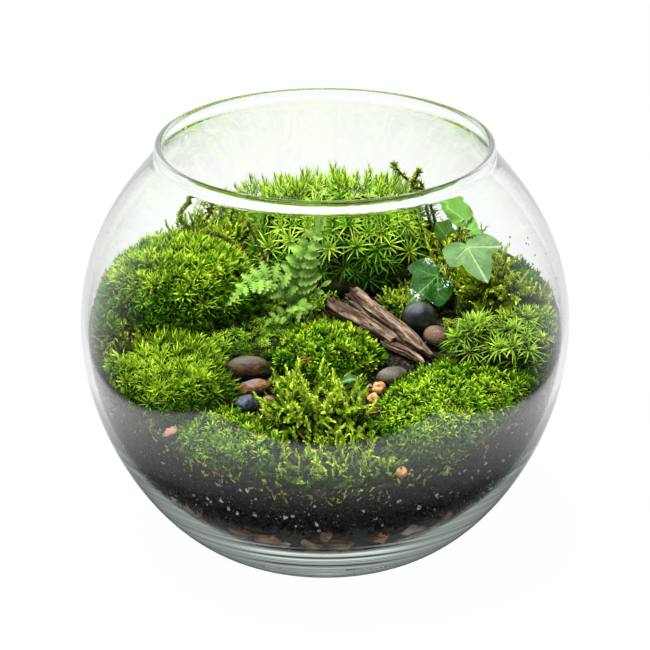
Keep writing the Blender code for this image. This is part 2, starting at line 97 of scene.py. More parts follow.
def soilHeight(x, y):
    reach = soilShape["reach"]
    share = np.clip((y + reach) / soilShape["run"], 0, 1)
    dish = np.maximum(0.0, 1 - (x * x + y * y) / reach**2)
    return soilShape["front"] + soilShape["rise"] * share * (2 - share) - soilShape["dish"] * dish


def soilUnder(places):
    return soilHeight(places[:, 0], places[:, 1])


def edgeHeight(angles):
    return soilHeight(soilShape["reach"] * np.cos(angles), soilShape["reach"] * np.sin(angles))


def soilNormal(x, y, step=0.001):
    slopeX = (soilHeight(x + step, y) - soilHeight(x - step, y)) / (2 * step)
    slopeY = (soilHeight(x, y + step) - soilHeight(x, y - step)) / (2 * step)
    return Vector((-slopeX, -slopeY, 1)).normalized()


def aboveSoil(x, y, height):
    return Vector((x, y, float(soilHeight(x, y)) + height))


def newNode(tree, kind, inputs=None, **options):
    node = tree.nodes.new("ShaderNode" + kind)
    for key, value in options.items():
        setattr(node, key, value)
    for key, value in (inputs or {}).items():
        socket = node.inputs[key]
        if isinstance(value, bpy.types.NodeSocket):
            tree.links.new(value, socket)
        else:
            socket.default_value = (*value, 1) if socket.type == "RGBA" else value
    return node


def compute(tree, operation, *terms, clamp=False):
    return newNode(tree, "Math", dict(enumerate(terms)), operation=operation, use_clamp=clamp).outputs[0]


def remap(tree, value, fromMin=0.0, fromMax=1.0, toMin=0.0, toMax=1.0, kind="LINEAR"):
    ends = {"Value": value, "From Min": fromMin, "From Max": fromMax, "To Min": toMin, "To Max": toMax}
    return newNode(tree, "MapRange", ends, interpolation_type=kind).outputs[0]


def smoothMap(tree, value, *ends):
    return remap(tree, value, *ends, kind="SMOOTHSTEP")


def mixValue(tree, factor, first, second):
    return newNode(tree, "Mix", {"Factor": factor, "A": first, "B": second}).outputs[0]


def mixColor(tree, factor, first, second):
    return newNode(tree, "Mix", {0: factor, 6: first, 7: second}, data_type="RGBA").outputs[2]


def mixShader(tree, factor, first, second):
    return newNode(tree, "MixShader", {"Fac": factor, 1: first, 2: second}).outputs[0]


def objectPlace(tree):
    return newNode(tree, "TexCoord").outputs["Object"]


def attribute(tree, name):
    return newNode(tree, "Attribute", attribute_name=name).outputs["Fac"]


def bumpOf(tree, height, strength, distance):
    return newNode(tree, "Bump", {"Strength": strength, "Distance": distance, "Height": height}).outputs[0]


def principled(tree, inputs):
    return newNode(tree, "BsdfPrincipled", inputs).outputs[0]


def thinLeaf(tree, surface, color, through):
    return mixShader(tree, through, surface, newNode(tree, "BsdfTranslucent", {"Color": color}).outputs[0])


def newMaterial(name, build, *values):
    material = bpy.data.materials.new(name)
    material.use_nodes = True
    tree = material.node_tree
    tree.nodes.clear()
    newNode(tree, "OutputMaterial", {"Surface": build(tree, *values)})
    return material


def newGroup(name, inputs, outputs):
    group = bpy.data.node_groups.new(name, "ShaderNodeTree")
    for label, value in inputs.items():
        kind = value if isinstance(value, str) else "Float"
        socket = group.interface.new_socket(name=label, in_out="INPUT", socket_type="NodeSocket" + kind)
        if kind == "Float":
            socket.default_value = value
    for label, kind in outputs.items():
        group.interface.new_socket(name=label, in_out="OUTPUT", socket_type="NodeSocket" + kind)
    return group, group.nodes.new("NodeGroupInput").outputs, group.nodes.new("NodeGroupOutput").inputs


def makeMottle():
    inputs = {"Vector": "Vector", "Scale": 50.0, "From": 0.4, "To": 0.6}
    group, start, end = newGroup("mottle", inputs, {"Mask": "Float", "Height": "Float"})
    values = {"Vector": start["Vector"], "Scale": start["Scale"], "Detail": 5.0, "Roughness": 0.6}
    cloud = newNode(group, "TexNoise", values).outputs["Fac"]
    group.links.new(smoothMap(group, cloud, start["From"], start["To"]), end["Mask"])
    group.links.new(cloud, end["Height"])
    return group


def makeSpecks():
    inputs = {"Vector": "Vector", "Scale": 400.0, "Size": 0.3, "Share": 0.3}
    group, start, end = newGroup("specks", inputs, {"Mask": "Float"})
    cells = newNode(group, "TexVoronoi", {"Vector": start["Vector"], "Scale": start["Scale"]}).outputs
    near = compute(group, "SUBTRACT", start["Size"], cells["Distance"])
    sharp = compute(group, "MULTIPLY", near, 9.0, clamp=True)
    red = newNode(group, "SeparateColor", {"Color": cells["Color"]}).outputs["Red"]
    some = compute(group, "LESS_THAN", red, start["Share"])
    group.links.new(compute(group, "MULTIPLY", sharp, some), end["Mask"])
    return group


def makeLeafTint():
    inputs = dict.fromkeys(("FootAndShade", "Middle", "FreshAndLit", "Old"), "Color")
    inputs |= dict.fromkeys(("Along", "Tone", "Patch"), 0.5)
    group, start, end = newGroup("leafTint", inputs, {"Color": "Color"})
    # painted shade and light: each blade darkens towards its foot and lightens towards its tip
    lower = smoothMap(group, start["Along"], 0.06, 0.62)
    raised = compute(group, "ADD", start["Along"], compute(group, "MULTIPLY_ADD", start["Tone"], 0.6, -0.3))
    base = mixColor(group, lower, start["FootAndShade"], start["Middle"])
    tipped = mixColor(group, smoothMap(group, raised, 0.4, 1.05), base, start["FreshAndLit"])
    aged = mixColor(group, remap(group, start["Tone"], 0.1, 0.0), tipped, start["Old"])
    light = remap(group, start["Patch"], toMin=0.62, toMax=1.2)
    varied = newNode(group, "HueSaturation", {"Color": aged, "Value": light})
    group.links.new(varied.outputs[0], end["Color"])
    return group


mottleGroup, speckGroup, leafTintGroup = makeMottle(), makeSpecks(), makeLeafTint()


def mottle(tree, place, scale, low, high, output="Mask"):
    values = {"Vector": place, "Scale": scale, "From": low, "To": high}
    return newNode(tree, "Group", values, node_tree=mottleGroup).outputs[output]


def specks(tree, place, scale, size, share):
    values = {"Vector": place, "Scale": scale, "Size": size, "Share": share}
    return newNode(tree, "Group", values, node_tree=speckGroup).outputs["Mask"]


def mossSurface(tree, *shades):
    values = {"Along": attribute(tree, "along"), "Tone": attribute(tree, "tone")}
    values |= zip(("FootAndShade", "Middle", "FreshAndLit", "Old"), shades)
    values["Patch"] = mottle(tree, objectPlace(tree), 150.0, 0.36, 0.64)
    tint = newNode(tree, "Group", values, node_tree=leafTintGroup).outputs[0]
    surface = principled(tree, {"Base Color": tint, "Roughness": 0.4, "Specular IOR Level": 0.45})
    return thinLeaf(tree, surface, tint, 0.14)


# dark, light and speck colours, roughness, scale of the pattern, share of specks, relief, coat, which also sets the
# strength of a painted highlight
stoneLooks = {
    "perlite": ((0.2, 0.18, 0.16), (0.55, 0.53, 0.49), (0.2, 0.18, 0.16), 0.75, 500.0, 0.2, 0.25, 0.0),
    "tanChip": ((0.12, 0.068, 0.034), (0.33, 0.215, 0.12), (0.04, 0.024, 0.015), 0.6, 110.0, 0.12, 0.25, 0.0),
    "orangeChip": ((0.16, 0.07, 0.03), (0.38, 0.18, 0.08), (0.04, 0.016, 0.01), 0.6, 110.0, 0.12, 0.25, 0.0),
    "paleChip": ((0.18, 0.15, 0.112), (0.4, 0.345, 0.265), (0.07, 0.055, 0.04), 0.6, 110.0, 0.1, 0.25, 0.0),
    "slateChip": ((0.01, 0.013, 0.016), (0.03, 0.04, 0.046), (0.07, 0.08, 0.08), 0.5, 120.0, 0.05, 0.25, 0.0),
    "gravelGrit": ((0.008, 0.007, 0.005), (0.045, 0.034, 0.024), (0.18, 0.15, 0.11), 0.8, 240.0, 0.25, 0.6, 0.0),
    "umberStone": ((0.07, 0.038, 0.024), (0.185, 0.112, 0.072), (0.26, 0.18, 0.13), 0.38, 120.0, 0.08, 0.2, 0.2),
    "brownStone": ((0.022, 0.012, 0.007), (0.092, 0.056, 0.034), (0.2, 0.15, 0.11), 0.26, 120.0, 0.08, 0.2, 0.4),
    "redStone": ((0.055, 0.02, 0.01), (0.22, 0.085, 0.035), (0.4, 0.3, 0.22), 0.22, 190.0, 0.1, 0.3, 0.8),
    "blueStone": ((0.008, 0.011, 0.02), (0.06, 0.08, 0.13), (0.4, 0.45, 0.55), 0.3, 420.0, 0.22, 0.6, 0.4),
    "greyStone": ((0.05, 0.042, 0.03), (0.15, 0.13, 0.1), (0.24, 0.21, 0.17), 0.38, 150.0, 0.1, 0.2, 0.2),
    "orangeStone": ((0.36, 0.14, 0.05), (0.74, 0.42, 0.2), (0.1, 0.04, 0.02), 0.55, 330.0, 0.06, 0.3, 0.0),
    "blackStone": ((0.006, 0.007, 0.008), (0.02, 0.022, 0.024), (0.14, 0.14, 0.14), 0.32, 200.0, 0.04, 0.25, 0.6),
    "tanStone": ((0.12, 0.055, 0.028), (0.34, 0.2, 0.12), (0.42, 0.3, 0.2), 0.42, 120.0, 0.08, 0.25, 0.0),
    "ivyBark": ((0.06, 0.06, 0.02), (0.17, 0.15, 0.06), (0.26, 0.22, 0.12), 0.6, 420.0, 0.1, 0.4, 0.0),
    "redScrap": ((0.1, 0.035, 0.018), (0.34, 0.15, 0.075), (0.45, 0.32, 0.22), 0.5, 200.0, 0.08, 0.25, 0.0),
    "tanScrap": ((0.16, 0.1, 0.06), (0.4, 0.28, 0.18), (0.5, 0.4, 0.3), 0.5, 200.0, 0.08, 0.25, 0.0),
    "barkScrap": ((0.02, 0.012, 0.007), (0.085, 0.045, 0.025), (0.16, 0.1, 0.06), 0.6, 260.0, 0.12, 0.25, 0.0),
    "twigBark": ((0.022, 0.014, 0.007), (0.085, 0.06, 0.025), (0.16, 0.12, 0.05), 0.75, 500.0, 0.15, 0.5, 0.0),
}


def stoneSurface(tree, dark, light, speck, roughness, scale, share, relief, coat):
    place = objectPlace(tree)
    fineHeight = mottle(tree, place, scale * 6, 0.3, 0.7, "Height")
    base = mixColor(tree, mottle(tree, place, scale, 0.36, 0.66), dark, light)
    worn = mixColor(tree, mottle(tree, place, scale * 6, 0.3, 0.7), mixColor(tree, 0.3, base, dark), base)
    color = mixColor(tree, specks(tree, place, scale * 8, 0.34, share), worn, speck)
    if coat:  # painted highlight: the side turned up and to the left is lightened as if it gleamed wet with the sky
        values = {0: newNode(tree, "TexCoord").outputs["Normal"], 1: (-0.3, -0.28, 0.91)}
        lean = newNode(tree, "VectorMath", values, operation="DOT_PRODUCT").outputs["Value"]
        color = mixColor(tree, smoothMap(tree, lean, 0.74, 1.0, 0.0, 0.55 * coat), color, (0.17, 0.18, 0.185))
    polish = remap(tree, fineHeight, toMin=roughness - 0.08, toMax=roughness + 0.14)
    values = {"Base Color": color, "Roughness": polish, "Coat Weight": coat, "Coat Roughness": 0.12}
    return principled(tree, values | {"Normal": bumpOf(tree, fineHeight, relief, 0.0004)})


@cache
def stoneMaterial(name):
    return newMaterial(name, stoneSurface, *stoneLooks[name])


# dark, light and vein colours, roughness, light let through, coat, scale of the pattern, strength of painted glints
# standing in for light off water drops
leafLooks = {
    "fernGreen": ((0.008, 0.07, 0.002), (0.215, 0.37, 0.062), (0.2, 0.4, 0.06), 0.42, 0.12, 0.0, 260.0, 0.0),
    "ivyPale": ((0.016, 0.075, 0.014), (0.185, 0.315, 0.12), (0.46, 0.6, 0.32), 0.34, 0.1, 0.25, 100.0, 0.0),
    "ivyDark": ((0.003, 0.035, 0.001), (0.022, 0.11, 0.004), (0.14, 0.29, 0.04), 0.24, 0.08, 0.9, 120.0, 0.9),
    "ivyYoung": ((0.04, 0.17, 0.01), (0.17, 0.37, 0.065), (0.36, 0.56, 0.17), 0.36, 0.2, 0.1, 210.0, 0.0),
    "fallenLeaf": ((0.022, 0.085, 0.018), (0.105, 0.225, 0.06), (0.17, 0.3, 0.1), 0.35, 0.1, 0.3, 300.0, 0.0),
}


def leafSurface(tree, dark, light, vein, roughness, through, coat, scale, wet):
    place = objectPlace(tree)
    blend = compute(tree, "MULTIPLY", mottle(tree, place, scale, 0.35, 0.65), 0.32)
    base = mixColor(tree, compute(tree, "ADD", blend, attribute(tree, "tone"), clamp=True), dark, light)
    base = mixColor(tree, attribute(tree, "along"), base, vein)
    # painted highlight: pale spots in one patch stand in for glints of light off water drops
    if wet:
        glintPatch = mottle(tree, place, 80.0, 0.52, 0.62)
        paintedGlints = compute(tree, "MULTIPLY", mottle(tree, place, 1150.0, 0.52, 0.6), glintPatch)
        base = mixColor(tree, compute(tree, "MULTIPLY", paintedGlints, wet), base, (0.62, 0.72, 0.6))
    normal = bumpOf(tree, mottle(tree, place, scale * 7, 0.3, 0.7, "Height"), 0.35, 0.0002)
    values = {"Base Color": base, "Roughness": roughness, "Specular IOR Level": 0.4, "Normal": normal}
    surface = principled(tree, values | {"Coat Weight": coat, "Coat Roughness": 0.15})
    return thinLeaf(tree, surface, base, through)


@cache
def leafMaterial(name):
    return newMaterial(name, leafSurface, *leafLooks[name])


def addPiece(name, body, materials, stands=(), smooth=True):
    mesh = meshOf(body, name) if isinstance(body, bmesh.types.BMesh) else body
    piece = bpy.data.objects.new(name, mesh)
    bpy.context.scene.collection.objects.link(piece)
    for material in materials:
        mesh.materials.append(material)
    mesh.polygons.foreach_set("use_smooth", [smooth] * len(mesh.polygons))
    if stands:
        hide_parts(*stands)
    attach(piece, "root")


def addScattered(name, part, materials, gap, sideGap=0.0, stands=(), smooth=True):
    keepInside(part["points"], gap, sideGap)
    addPiece(name, meshFromPart(name, part), materials, stands, smooth)


def newShape(*layers):
    bm = bmesh.new()
    return [bm, *(bm.verts.layers.float.new(layer) for layer in layers)]


def meshOf(bm, name):
    mesh = bpy.data.meshes.new(name)
    bm.to_mesh(mesh)
    bm.free()
    return mesh


def cadCopy(name):
    bm = bmesh.new()
    bm.from_mesh(cadNodes[name].data)
    bmesh.ops.remove_doubles(bm, verts=bm.verts, dist=1e-6)
    bm.normal_update()
    return bm


def readShape(bm):
    bmesh.ops.remove_doubles(bm, verts=bm.verts, dist=1e-7)
    bm.verts.index_update()
    layer = bm.verts.layers.float.get("along")
    shape = {
        "points": np.array([v.co[:] for v in bm.verts]),
        "corners": np.array([corner.vert.index for face in bm.faces for corner in face.loops]),
        "sizes": np.array([len(face.verts) for face in bm.faces]),
        "slots": np.zeros(len(bm.faces), int),
        "along": np.array([v[layer] if layer else 0.0 for v in bm.verts]),
        "tone": np.zeros(len(bm.verts)),
    }
    bm.free()
    return shape


def scatter(shapes, places, axes, scales, tones, slot=0):
    picks = scatterDice.integers(len(shapes), size=len(places))
    axes = axes / np.linalg.norm(axes, axis=1, keepdims=True)
    side = np.cross(axes, scatterDice.normal(size=axes.shape))
    side /= np.linalg.norm(side, axis=1, keepdims=True)
    turns = np.stack([np.cross(side, axes), side, axes], axis=2) * scales[:, None, None]
    parts = []
    for k, shape in enumerate(shapes):
        chosen = np.flatnonzero(picks == k)
        if not len(chosen):
            continue
        points = np.einsum("nij,vj->nvi", turns[chosen], shape["points"]) + places[chosen, None, :]
        count, size = len(chosen), len(shape["points"])
        parts.append({
            "points": points.reshape(-1, 3),
            "corners": (shape["corners"][None] + (np.arange(count) * size)[:, None]).reshape(-1),
            "sizes": np.tile(shape["sizes"], count),
            "slots": np.full(len(shape["sizes"]) * count, slot),
            "along": np.tile(shape["along"], count),
            "tone": np.repeat(tones[chosen], size),
        })
    return joinParts(parts)


def joinParts(parts):
    offsets = np.cumsum([0] + [len(part["points"]) for part in parts[:-1]])
    joined = {key: np.concatenate([part[key] for part in parts]) for key in parts[0] if key != "corners"}
    joined["corners"] = np.concatenate([part["corners"] + offset for part, offset in zip(parts, offsets)])
    return joined


def meshFromPart(name, part):
    mesh = bpy.data.meshes.new(name)
    mesh.vertices.add(len(part["points"]))
    mesh.vertices.foreach_set("co", part["points"].astype(np.float32).ravel())
    mesh.loops.add(len(part["corners"]))
    mesh.loops.foreach_set("vertex_index", part["corners"].astype(np.int32))
    mesh.polygons.add(len(part["sizes"]))
    starts = np.concatenate([[0], np.cumsum(part["sizes"])[:-1]])
    mesh.polygons.foreach_set("loop_start", starts.astype(np.int32))
    mesh.polygons.foreach_set("material_index", part["slots"].astype(np.int32))
    mesh.update(calc_edges=True)
    for key in ("along", "tone"):
        layer = mesh.attributes.new(key, "FLOAT", "POINT")
        layer.data.foreach_set("value", part[key].astype(np.float32))
    return mesh


def ringPlaces(angles, reach, heights=0.0):
    return np.stack([reach * np.cos(angles), reach * np.sin(angles), heights + np.zeros(len(angles))], axis=1)


def addTube(bm, path, radii, sides, layer=None, values=(0.0, 0.0)):
    path = [Vector(point) for point in path]
    frames = []
    turn = (path[1] - path[0]).to_track_quat("Z", "Y")
    for k, point in enumerate(path):
        heading = (path[min(k + 1, len(path) - 1)] - path[max(k - 1, 0)]).normalized()
        turn = (turn @ upward).rotation_difference(heading) @ turn
        frames.append(Matrix.Translation(point) @ turn.to_matrix().to_4x4() @ Matrix.Scale(radii[k], 4))
    ring = bmesh.ops.create_circle(bm, cap_ends=True, segments=sides, radius=1.0, matrix=frames[0])["verts"]
    made = list(ring)
    edges = list({edge for vert in ring for edge in vert.link_edges})
    for k in range(1, len(path)):
        geom = bmesh.ops.extrude_edge_only(bm, edges=edges)["geom"]
        fresh = [item for item in geom if isinstance(item, bmesh.types.BMVert)]
        edges = [item for item in geom if isinstance(item, bmesh.types.BMEdge)]
        bmesh.ops.transform(bm, matrix=frames[k] @ frames[k - 1].inverted(), verts=fresh)
        if layer:
            for vert in fresh:
                vert[layer] = values[0] + (values[1] - values[0]) * k / (len(path) - 1)
        made += fresh
    bmesh.ops.edgeloop_fill(bm, edges=edges)
    return made


def smoothPath(knots, steps):
    points, last = [], len(knots) - 1
    for k in range(last):
        before, start, end, after = knots[max(k - 1, 0)], knots[k], knots[k + 1], knots[min(k + 2, last)]
        handles = (start + (end - before) / 6, end - (after - start) / 6)
        points += interpolate_bezier(start, *handles, end, steps + 1)[: steps + (k == last - 1)]
    return points


def spunOutline(outline, turns, merge):
    bm = bmesh.new()
    verts = [bm.verts.new((r, 0, z)) for r, z in outline]
    edges = [bm.edges.new(pair) for pair in zip(verts, verts[1:])]
    axis = {"cent": (0, 0, 0), "axis": (0, 0, 1), "angle": fullTurn}
    bmesh.ops.spin(bm, geom=verts + edges, steps=turns, use_merge=True, **axis)
    bmesh.ops.remove_doubles(bm, verts=bm.verts, dist=merge)
    return bm


studio = {
    "lens": 120.0,
    "tilt": 24.36,  # degrees above the horizon
    "distance": 1.1159,
    "aim": (0.0, 0.0, 0.1136),
    "surround": 0.24,  # brightness of the white surroundings
    "overhead": 38.5,
    "key": 5.0,
    "fill": 2.0,
    "throughGlass": 1.21,  # brightness of the floor and the background behind the glass
    "insideGlass": 0.88,  # the same after several reflections inside the glass
    "insideTint": (0.86, 0.945, 0.9),
    "floorGlow": 0.985,  # how little the floor shows of shadows
    "behind": (-0.05, 0.8, 0.0, 0.9),  # where the glow behind the bowl starts and is full, as mirrored on the glass
    "above": (0.8, 0.95),  # the same for the glow from above
    "worldBands": (7.0, 1.0, 0.5),  # scale, detail and roughness
    "floorBands": (90.0, 6.0, 0.78),
    "evenSides": (0.3, 0.7, 0.0, 0.78),  # where the bands fade towards the sides, and how much
    "sideLevel": 0.42,
    "nearFloorShadow": (0.133, 0.235),  # where the floor starts to be mirrored on the glass, and is full; nearer the bowl it stays dark, as a painted shadow of the bowl
    "floorSides": (0.29, 0.262),
    "floorFront": (-0.295, -0.268),
    "shadowUnderBowl": (0.05, 0.105, 0.12),  # painted shadow of the bowl on the floor seen through the base: radii, and strength in the middle
}


def rayStrength(tree, path, mirrored, inside, through):
    # plain view 1, through the glass a little brighter, mirrored on the glass as given, inside the glass even
    reflected = compute(tree, "GREATER_THAN", path["Glossy Depth"], 0.5)
    entered = compute(tree, "GREATER_THAN", path["Transmission Depth"], 0.5)
    twice = compute(tree, "GREATER_THAN", path["Glossy Depth"], 1.5)
    plain = mixValue(tree, entered, 1.0, through)
    seen = mixValue(tree, reflected, plain, mixValue(tree, twice, mirrored, inside))
    special = compute(tree, "MAXIMUM", reflected, entered)
    return seen, special, mixColor(tree, twice, (1, 1, 1), studio["insideTint"])


def behindGlow(tree, value):
    return smoothMap(tree, value, *studio["behind"])


def bandedGlow(tree, height, aside, pattern, ends):
    # pale and dark bands near the middle, even at the sides
    values = {"W": height} | dict(zip(("Scale", "Detail", "Roughness"), pattern))
    bands = newNode(tree, "TexNoise", values, noise_dimensions="1D").outputs[0]
    sideways = smoothMap(tree, aside, *studio["evenSides"])
    return mixValue(tree, sideways, remap(tree, bands, *ends), studio["sideLevel"] * studio["insideGlass"])


def setCamera(scene):
    camera = bpy.data.objects.new("camera", bpy.data.cameras.new("camera"))
    camera.data.lens = studio["lens"]
    camera.data.sensor_width = 36.0
    tilt = math.radians(studio["tilt"])
    camera.location = Vector(studio["aim"]) + Vector((0, -math.cos(tilt), math.sin(tilt))) * studio["distance"]
    camera.rotation_euler = (math.pi / 2 - tilt, 0, 0)
    scene.collection.objects.link(camera)
    scene.camera = camera
    scene.view_settings.view_transform = "Standard"


def setLights(scene):
    for name, place, size in (
        ("overhead", (-0.14, 0.0, 1.15), 0.5),
        ("key", (-0.55, -0.45, 0.95), 0.35),
        ("fill", (0.25, -1.3, 0.55), 0.9),
    ):
        light = bpy.data.objects.new(name, bpy.data.lights.new(name, "AREA"))
        light.data.size = size
        light.data.energy = studio[name]
        light.location = place
        light.rotation_euler = (Vector((0, 0, 0.1)) - Vector(place)).to_track_quat("-Z", "Y").to_euler()
        light.visible_glossy = False
        light.visible_transmission = False
        scene.collection.objects.link(light)


def setWorld(scene):
    world = bpy.data.worlds.new("studio")
    scene.world = world
    world.use_nodes = True
    world.cycles.sampling_method = "NONE"
    tree = world.node_tree
    tree.nodes.clear()
    path = newNode(tree, "LightPath").outputs
    heading = newNode(tree, "SeparateXYZ", {"Vector": newNode(tree, "TexCoord").outputs["Generated"]}).outputs
    above = smoothMap(tree, heading["Z"], *studio["above"])
    mirrored = compute(tree, "MAXIMUM", behindGlow(tree, heading["Y"]), above)
    aside = compute(tree, "ABSOLUTE", heading["X"])
    ends = (0.4, 0.65, 0.34, 0.85 * studio["insideGlass"])
    inside = bandedGlow(tree, heading["Z"], aside, studio["worldBands"], ends)
    through = newNode(tree, "Value")
    through.outputs[0].default_value = studio["throughGlass"]
    seen, _, color = rayStrength(tree, path, mirrored, inside, through.outputs[0])
    lit = mixValue(tree, path["Is Diffuse Ray"], seen, studio["surround"])
    background = newNode(tree, "Background", {"Color": color, "Strength": lit})
    newNode(tree, "OutputWorld", {"Surface": background.outputs[0]})


def floorSurface(tree):
    place = objectPlace(tree)
    split = newNode(tree, "SeparateXYZ", {"Vector": place}).outputs
    away = newNode(tree, "VectorMath", {0: place}, operation="LENGTH").outputs["Value"]
    path = newNode(tree, "LightPath").outputs
    aside = compute(tree, "ABSOLUTE", split["X"])
    # painted shadow: the mirrored floor is dark near the bowl and brightens outwards
    near, sides = remap(tree, away, *studio["nearFloorShadow"]), smoothMap(tree, aside, *studio["floorSides"])
    patch = compute(tree, "MULTIPLY", near, sides)
    patch = compute(tree, "MULTIPLY", patch, smoothMap(tree, split["Y"], *studio["floorFront"]))
    patch = compute(tree, "MAXIMUM", patch, behindGlow(tree, compute(tree, "DIVIDE", split["Y"], away)))
    ends = (0.43, 0.6, 0.03, 1.15 * studio["insideGlass"])
    inside = bandedGlow(tree, away, compute(tree, "DIVIDE", aside, away), studio["floorBands"], ends)
    walls = smoothMap(tree, path["Transmission Depth"], 1.0, 4.0, 1.0, studio["throughGlass"])
    # painted shadow: the floor seen through the base is dimmed towards the middle
    through = smoothMap(tree, away, *studio["shadowUnderBowl"], walls)
    seen, special, color = rayStrength(tree, path, patch, inside, through)
    glow = newNode(tree, "Emission", {"Color": color, "Strength": seen}).outputs[0]
    paint = newNode(tree, "BsdfDiffuse", {"Color": (0.9, 0.9, 0.9)}).outputs[0]
    share = remap(tree, path["Is Diffuse Ray"], toMin=studio["floorGlow"], toMax=0.0)
    return mixShader(tree, compute(tree, "MAXIMUM", share, special), paint, glow)


def setFloor(scene):
    bm = bmesh.new()
    bmesh.ops.create_grid(bm, x_segments=2, y_segments=2, size=6.0)
    floor = bpy.data.objects.new("floor", meshOf(bm, "floor"))
    scene.collection.objects.link(floor)
    floor.data.materials.append(newMaterial("floorWhite", floorSurface))


for setUp in (setCamera, setLights, setWorld, setFloor):
    setUp(bpy.context.scene)
print("studio ready")


def glassSurface(tree):
    values = {"Base Color": (0.978, 0.993, 0.987), "Roughness": 0.0, "IOR": 1.5}
    glass = principled(tree, values | {"Metallic": 0.0, "Transmission Weight": 1.0})
    clear = newNode(tree, "BsdfTransparent", {"Color": (0.97, 0.985, 0.98)}).outputs[0]
    path = newNode(tree, "LightPath").outputs
    either = compute(tree, "MAXIMUM", path["Is Shadow Ray"], path["Is Diffuse Ray"])
    guided = compute(tree, "GREATER_THAN", path["Glossy Depth"], 2.5)  # light led round inside the wall
    return mixShader(tree, compute(tree, "MAXIMUM", either, guided), glass, clear)


def makeBowl():
    steps, edge = bowlShape["steps"], bowlShape["puntRadius"]
    outline = [(r, bowlShape["punt"] * (1 - (r / edge) ** 2) ** 2) for r in np.linspace(0, edge, 9)] + [(0.0536, 0.0)]
    outline += [*bezierLine(bowlShape["outerLow"], steps), *bezierLine(bowlShape["outerHigh"], steps)[1:]]
    outline += list(bowlShape["lip"])
    outline += [*bezierLine(bowlShape["innerHigh"], steps)[:0:-1], *bezierLine(bowlShape["innerLow"], steps)[::-1]]
    outline += [(r, bowlShape["floor"]) for r in (0.046, 0.033, 0.016, 0.0)]
    bm = spunOutline(outline, bowlShape["turns"], 1e-6)
    bmesh.ops.recalc_face_normals(bm, faces=bm.faces)
    addPiece("bowl", bm, [newMaterial("clearGlass", glassSurface)], ["glass_bowl"])


makeBowl()
print("bowl ready")


groundLook = {
    "soilTop": 0.0545,  # lowest edge of the soil against the glass
    "rings": 44,
    "turns": 420,
    "wallSteps": 52,
    "crumbs": 2600,
    "crumbSize": (0.001, 0.003),
    # count, lowest and highest, spread from the front, least and greatest size, depth behind the glass, tone,
    # and how far above the soil's edge they may stick
    "wallCrumbs": (
        (5200, 0.05, 0.12, math.pi, 0.001, 0.0042, 0.0014, 0.8, 0.001),
        (1500, 0.052, 0.124, 1.75, 0.0003, 0.0018, 0.0004, 0.0, 0.012),
    ),
    "strayCrumbs": 110,  # higher up on the inner wall
    "strayFoot": 0.112,
    "strayReach": 0.016,
    "straySize": (0.0004, 0.0016),
    "perlite": 2600,
    "perliteBand": (0.054, 0.068),  # lowest grain, and how far up they go
    "perliteSize": (0.0004, 0.0025),  # the least, and what the largest have more
    "chipRows": 4,
    "chipFoot": 0.015,
    "chipPitch": 0.0105,
    "chipWidth": (0.009, 0.016),
    "chipHeight": (0.007, 0.011),
    "chipShares": (0.45, 0.14, 0.2, 0.21),
    "chipFlats": (0.55, 0.6, 0.5, 0.34),  # thickness of each kind
    "chipTilt": (28, 28, 28, 9),  # largest lean of each kind, in degrees
    "placedChips": (42, 0.034),  # the listed chips stand within this angle and above this height
}
# colour, fleck scale, size and share
soilFlecks = (
    ((0.06, 0.042, 0.028), 700.0, 0.36, 0.16),
    ((0.17, 0.155, 0.135), 1050.0, 0.34, 0.1),
    ((0.34, 0.32, 0.29), 520.0, 0.26, 0.035),
)


def soilSurface(tree):
    place = objectPlace(tree)
    base = mixColor(tree, mottle(tree, place, 70.0, 0.35, 0.68), (0.001, 0.001, 0.001), (0.008, 0.007, 0.006))
    base = mixColor(tree, mottle(tree, place, 760.0, 0.42, 0.66), base, (0.026, 0.021, 0.017))
    for color, scale, size, share in soilFlecks:
        base = mixColor(tree, specks(tree, place, scale, size, share), base, color)
    base = mixColor(tree, attribute(tree, "tone"), base, (0.036, 0.03, 0.025))
    normal = bumpOf(tree, mottle(tree, place, 760.0, 0.42, 0.66, "Height"), 0.7, 0.0008)
    values = {"Base Color": base, "Normal": normal, "Roughness": 0.8, "Specular IOR Level": 0.2}
    return principled(tree, values)


def turnedBody(name, outline, turns, shape, material, stands):
    bm = spunOutline(outline, turns, 1e-7)
    bmesh.ops.recalc_face_normals(bm, faces=bm.faces)
    for vert in bm.verts:
        vert.co = shape(vert.co)
    addPiece(name, bm, [material], stands)


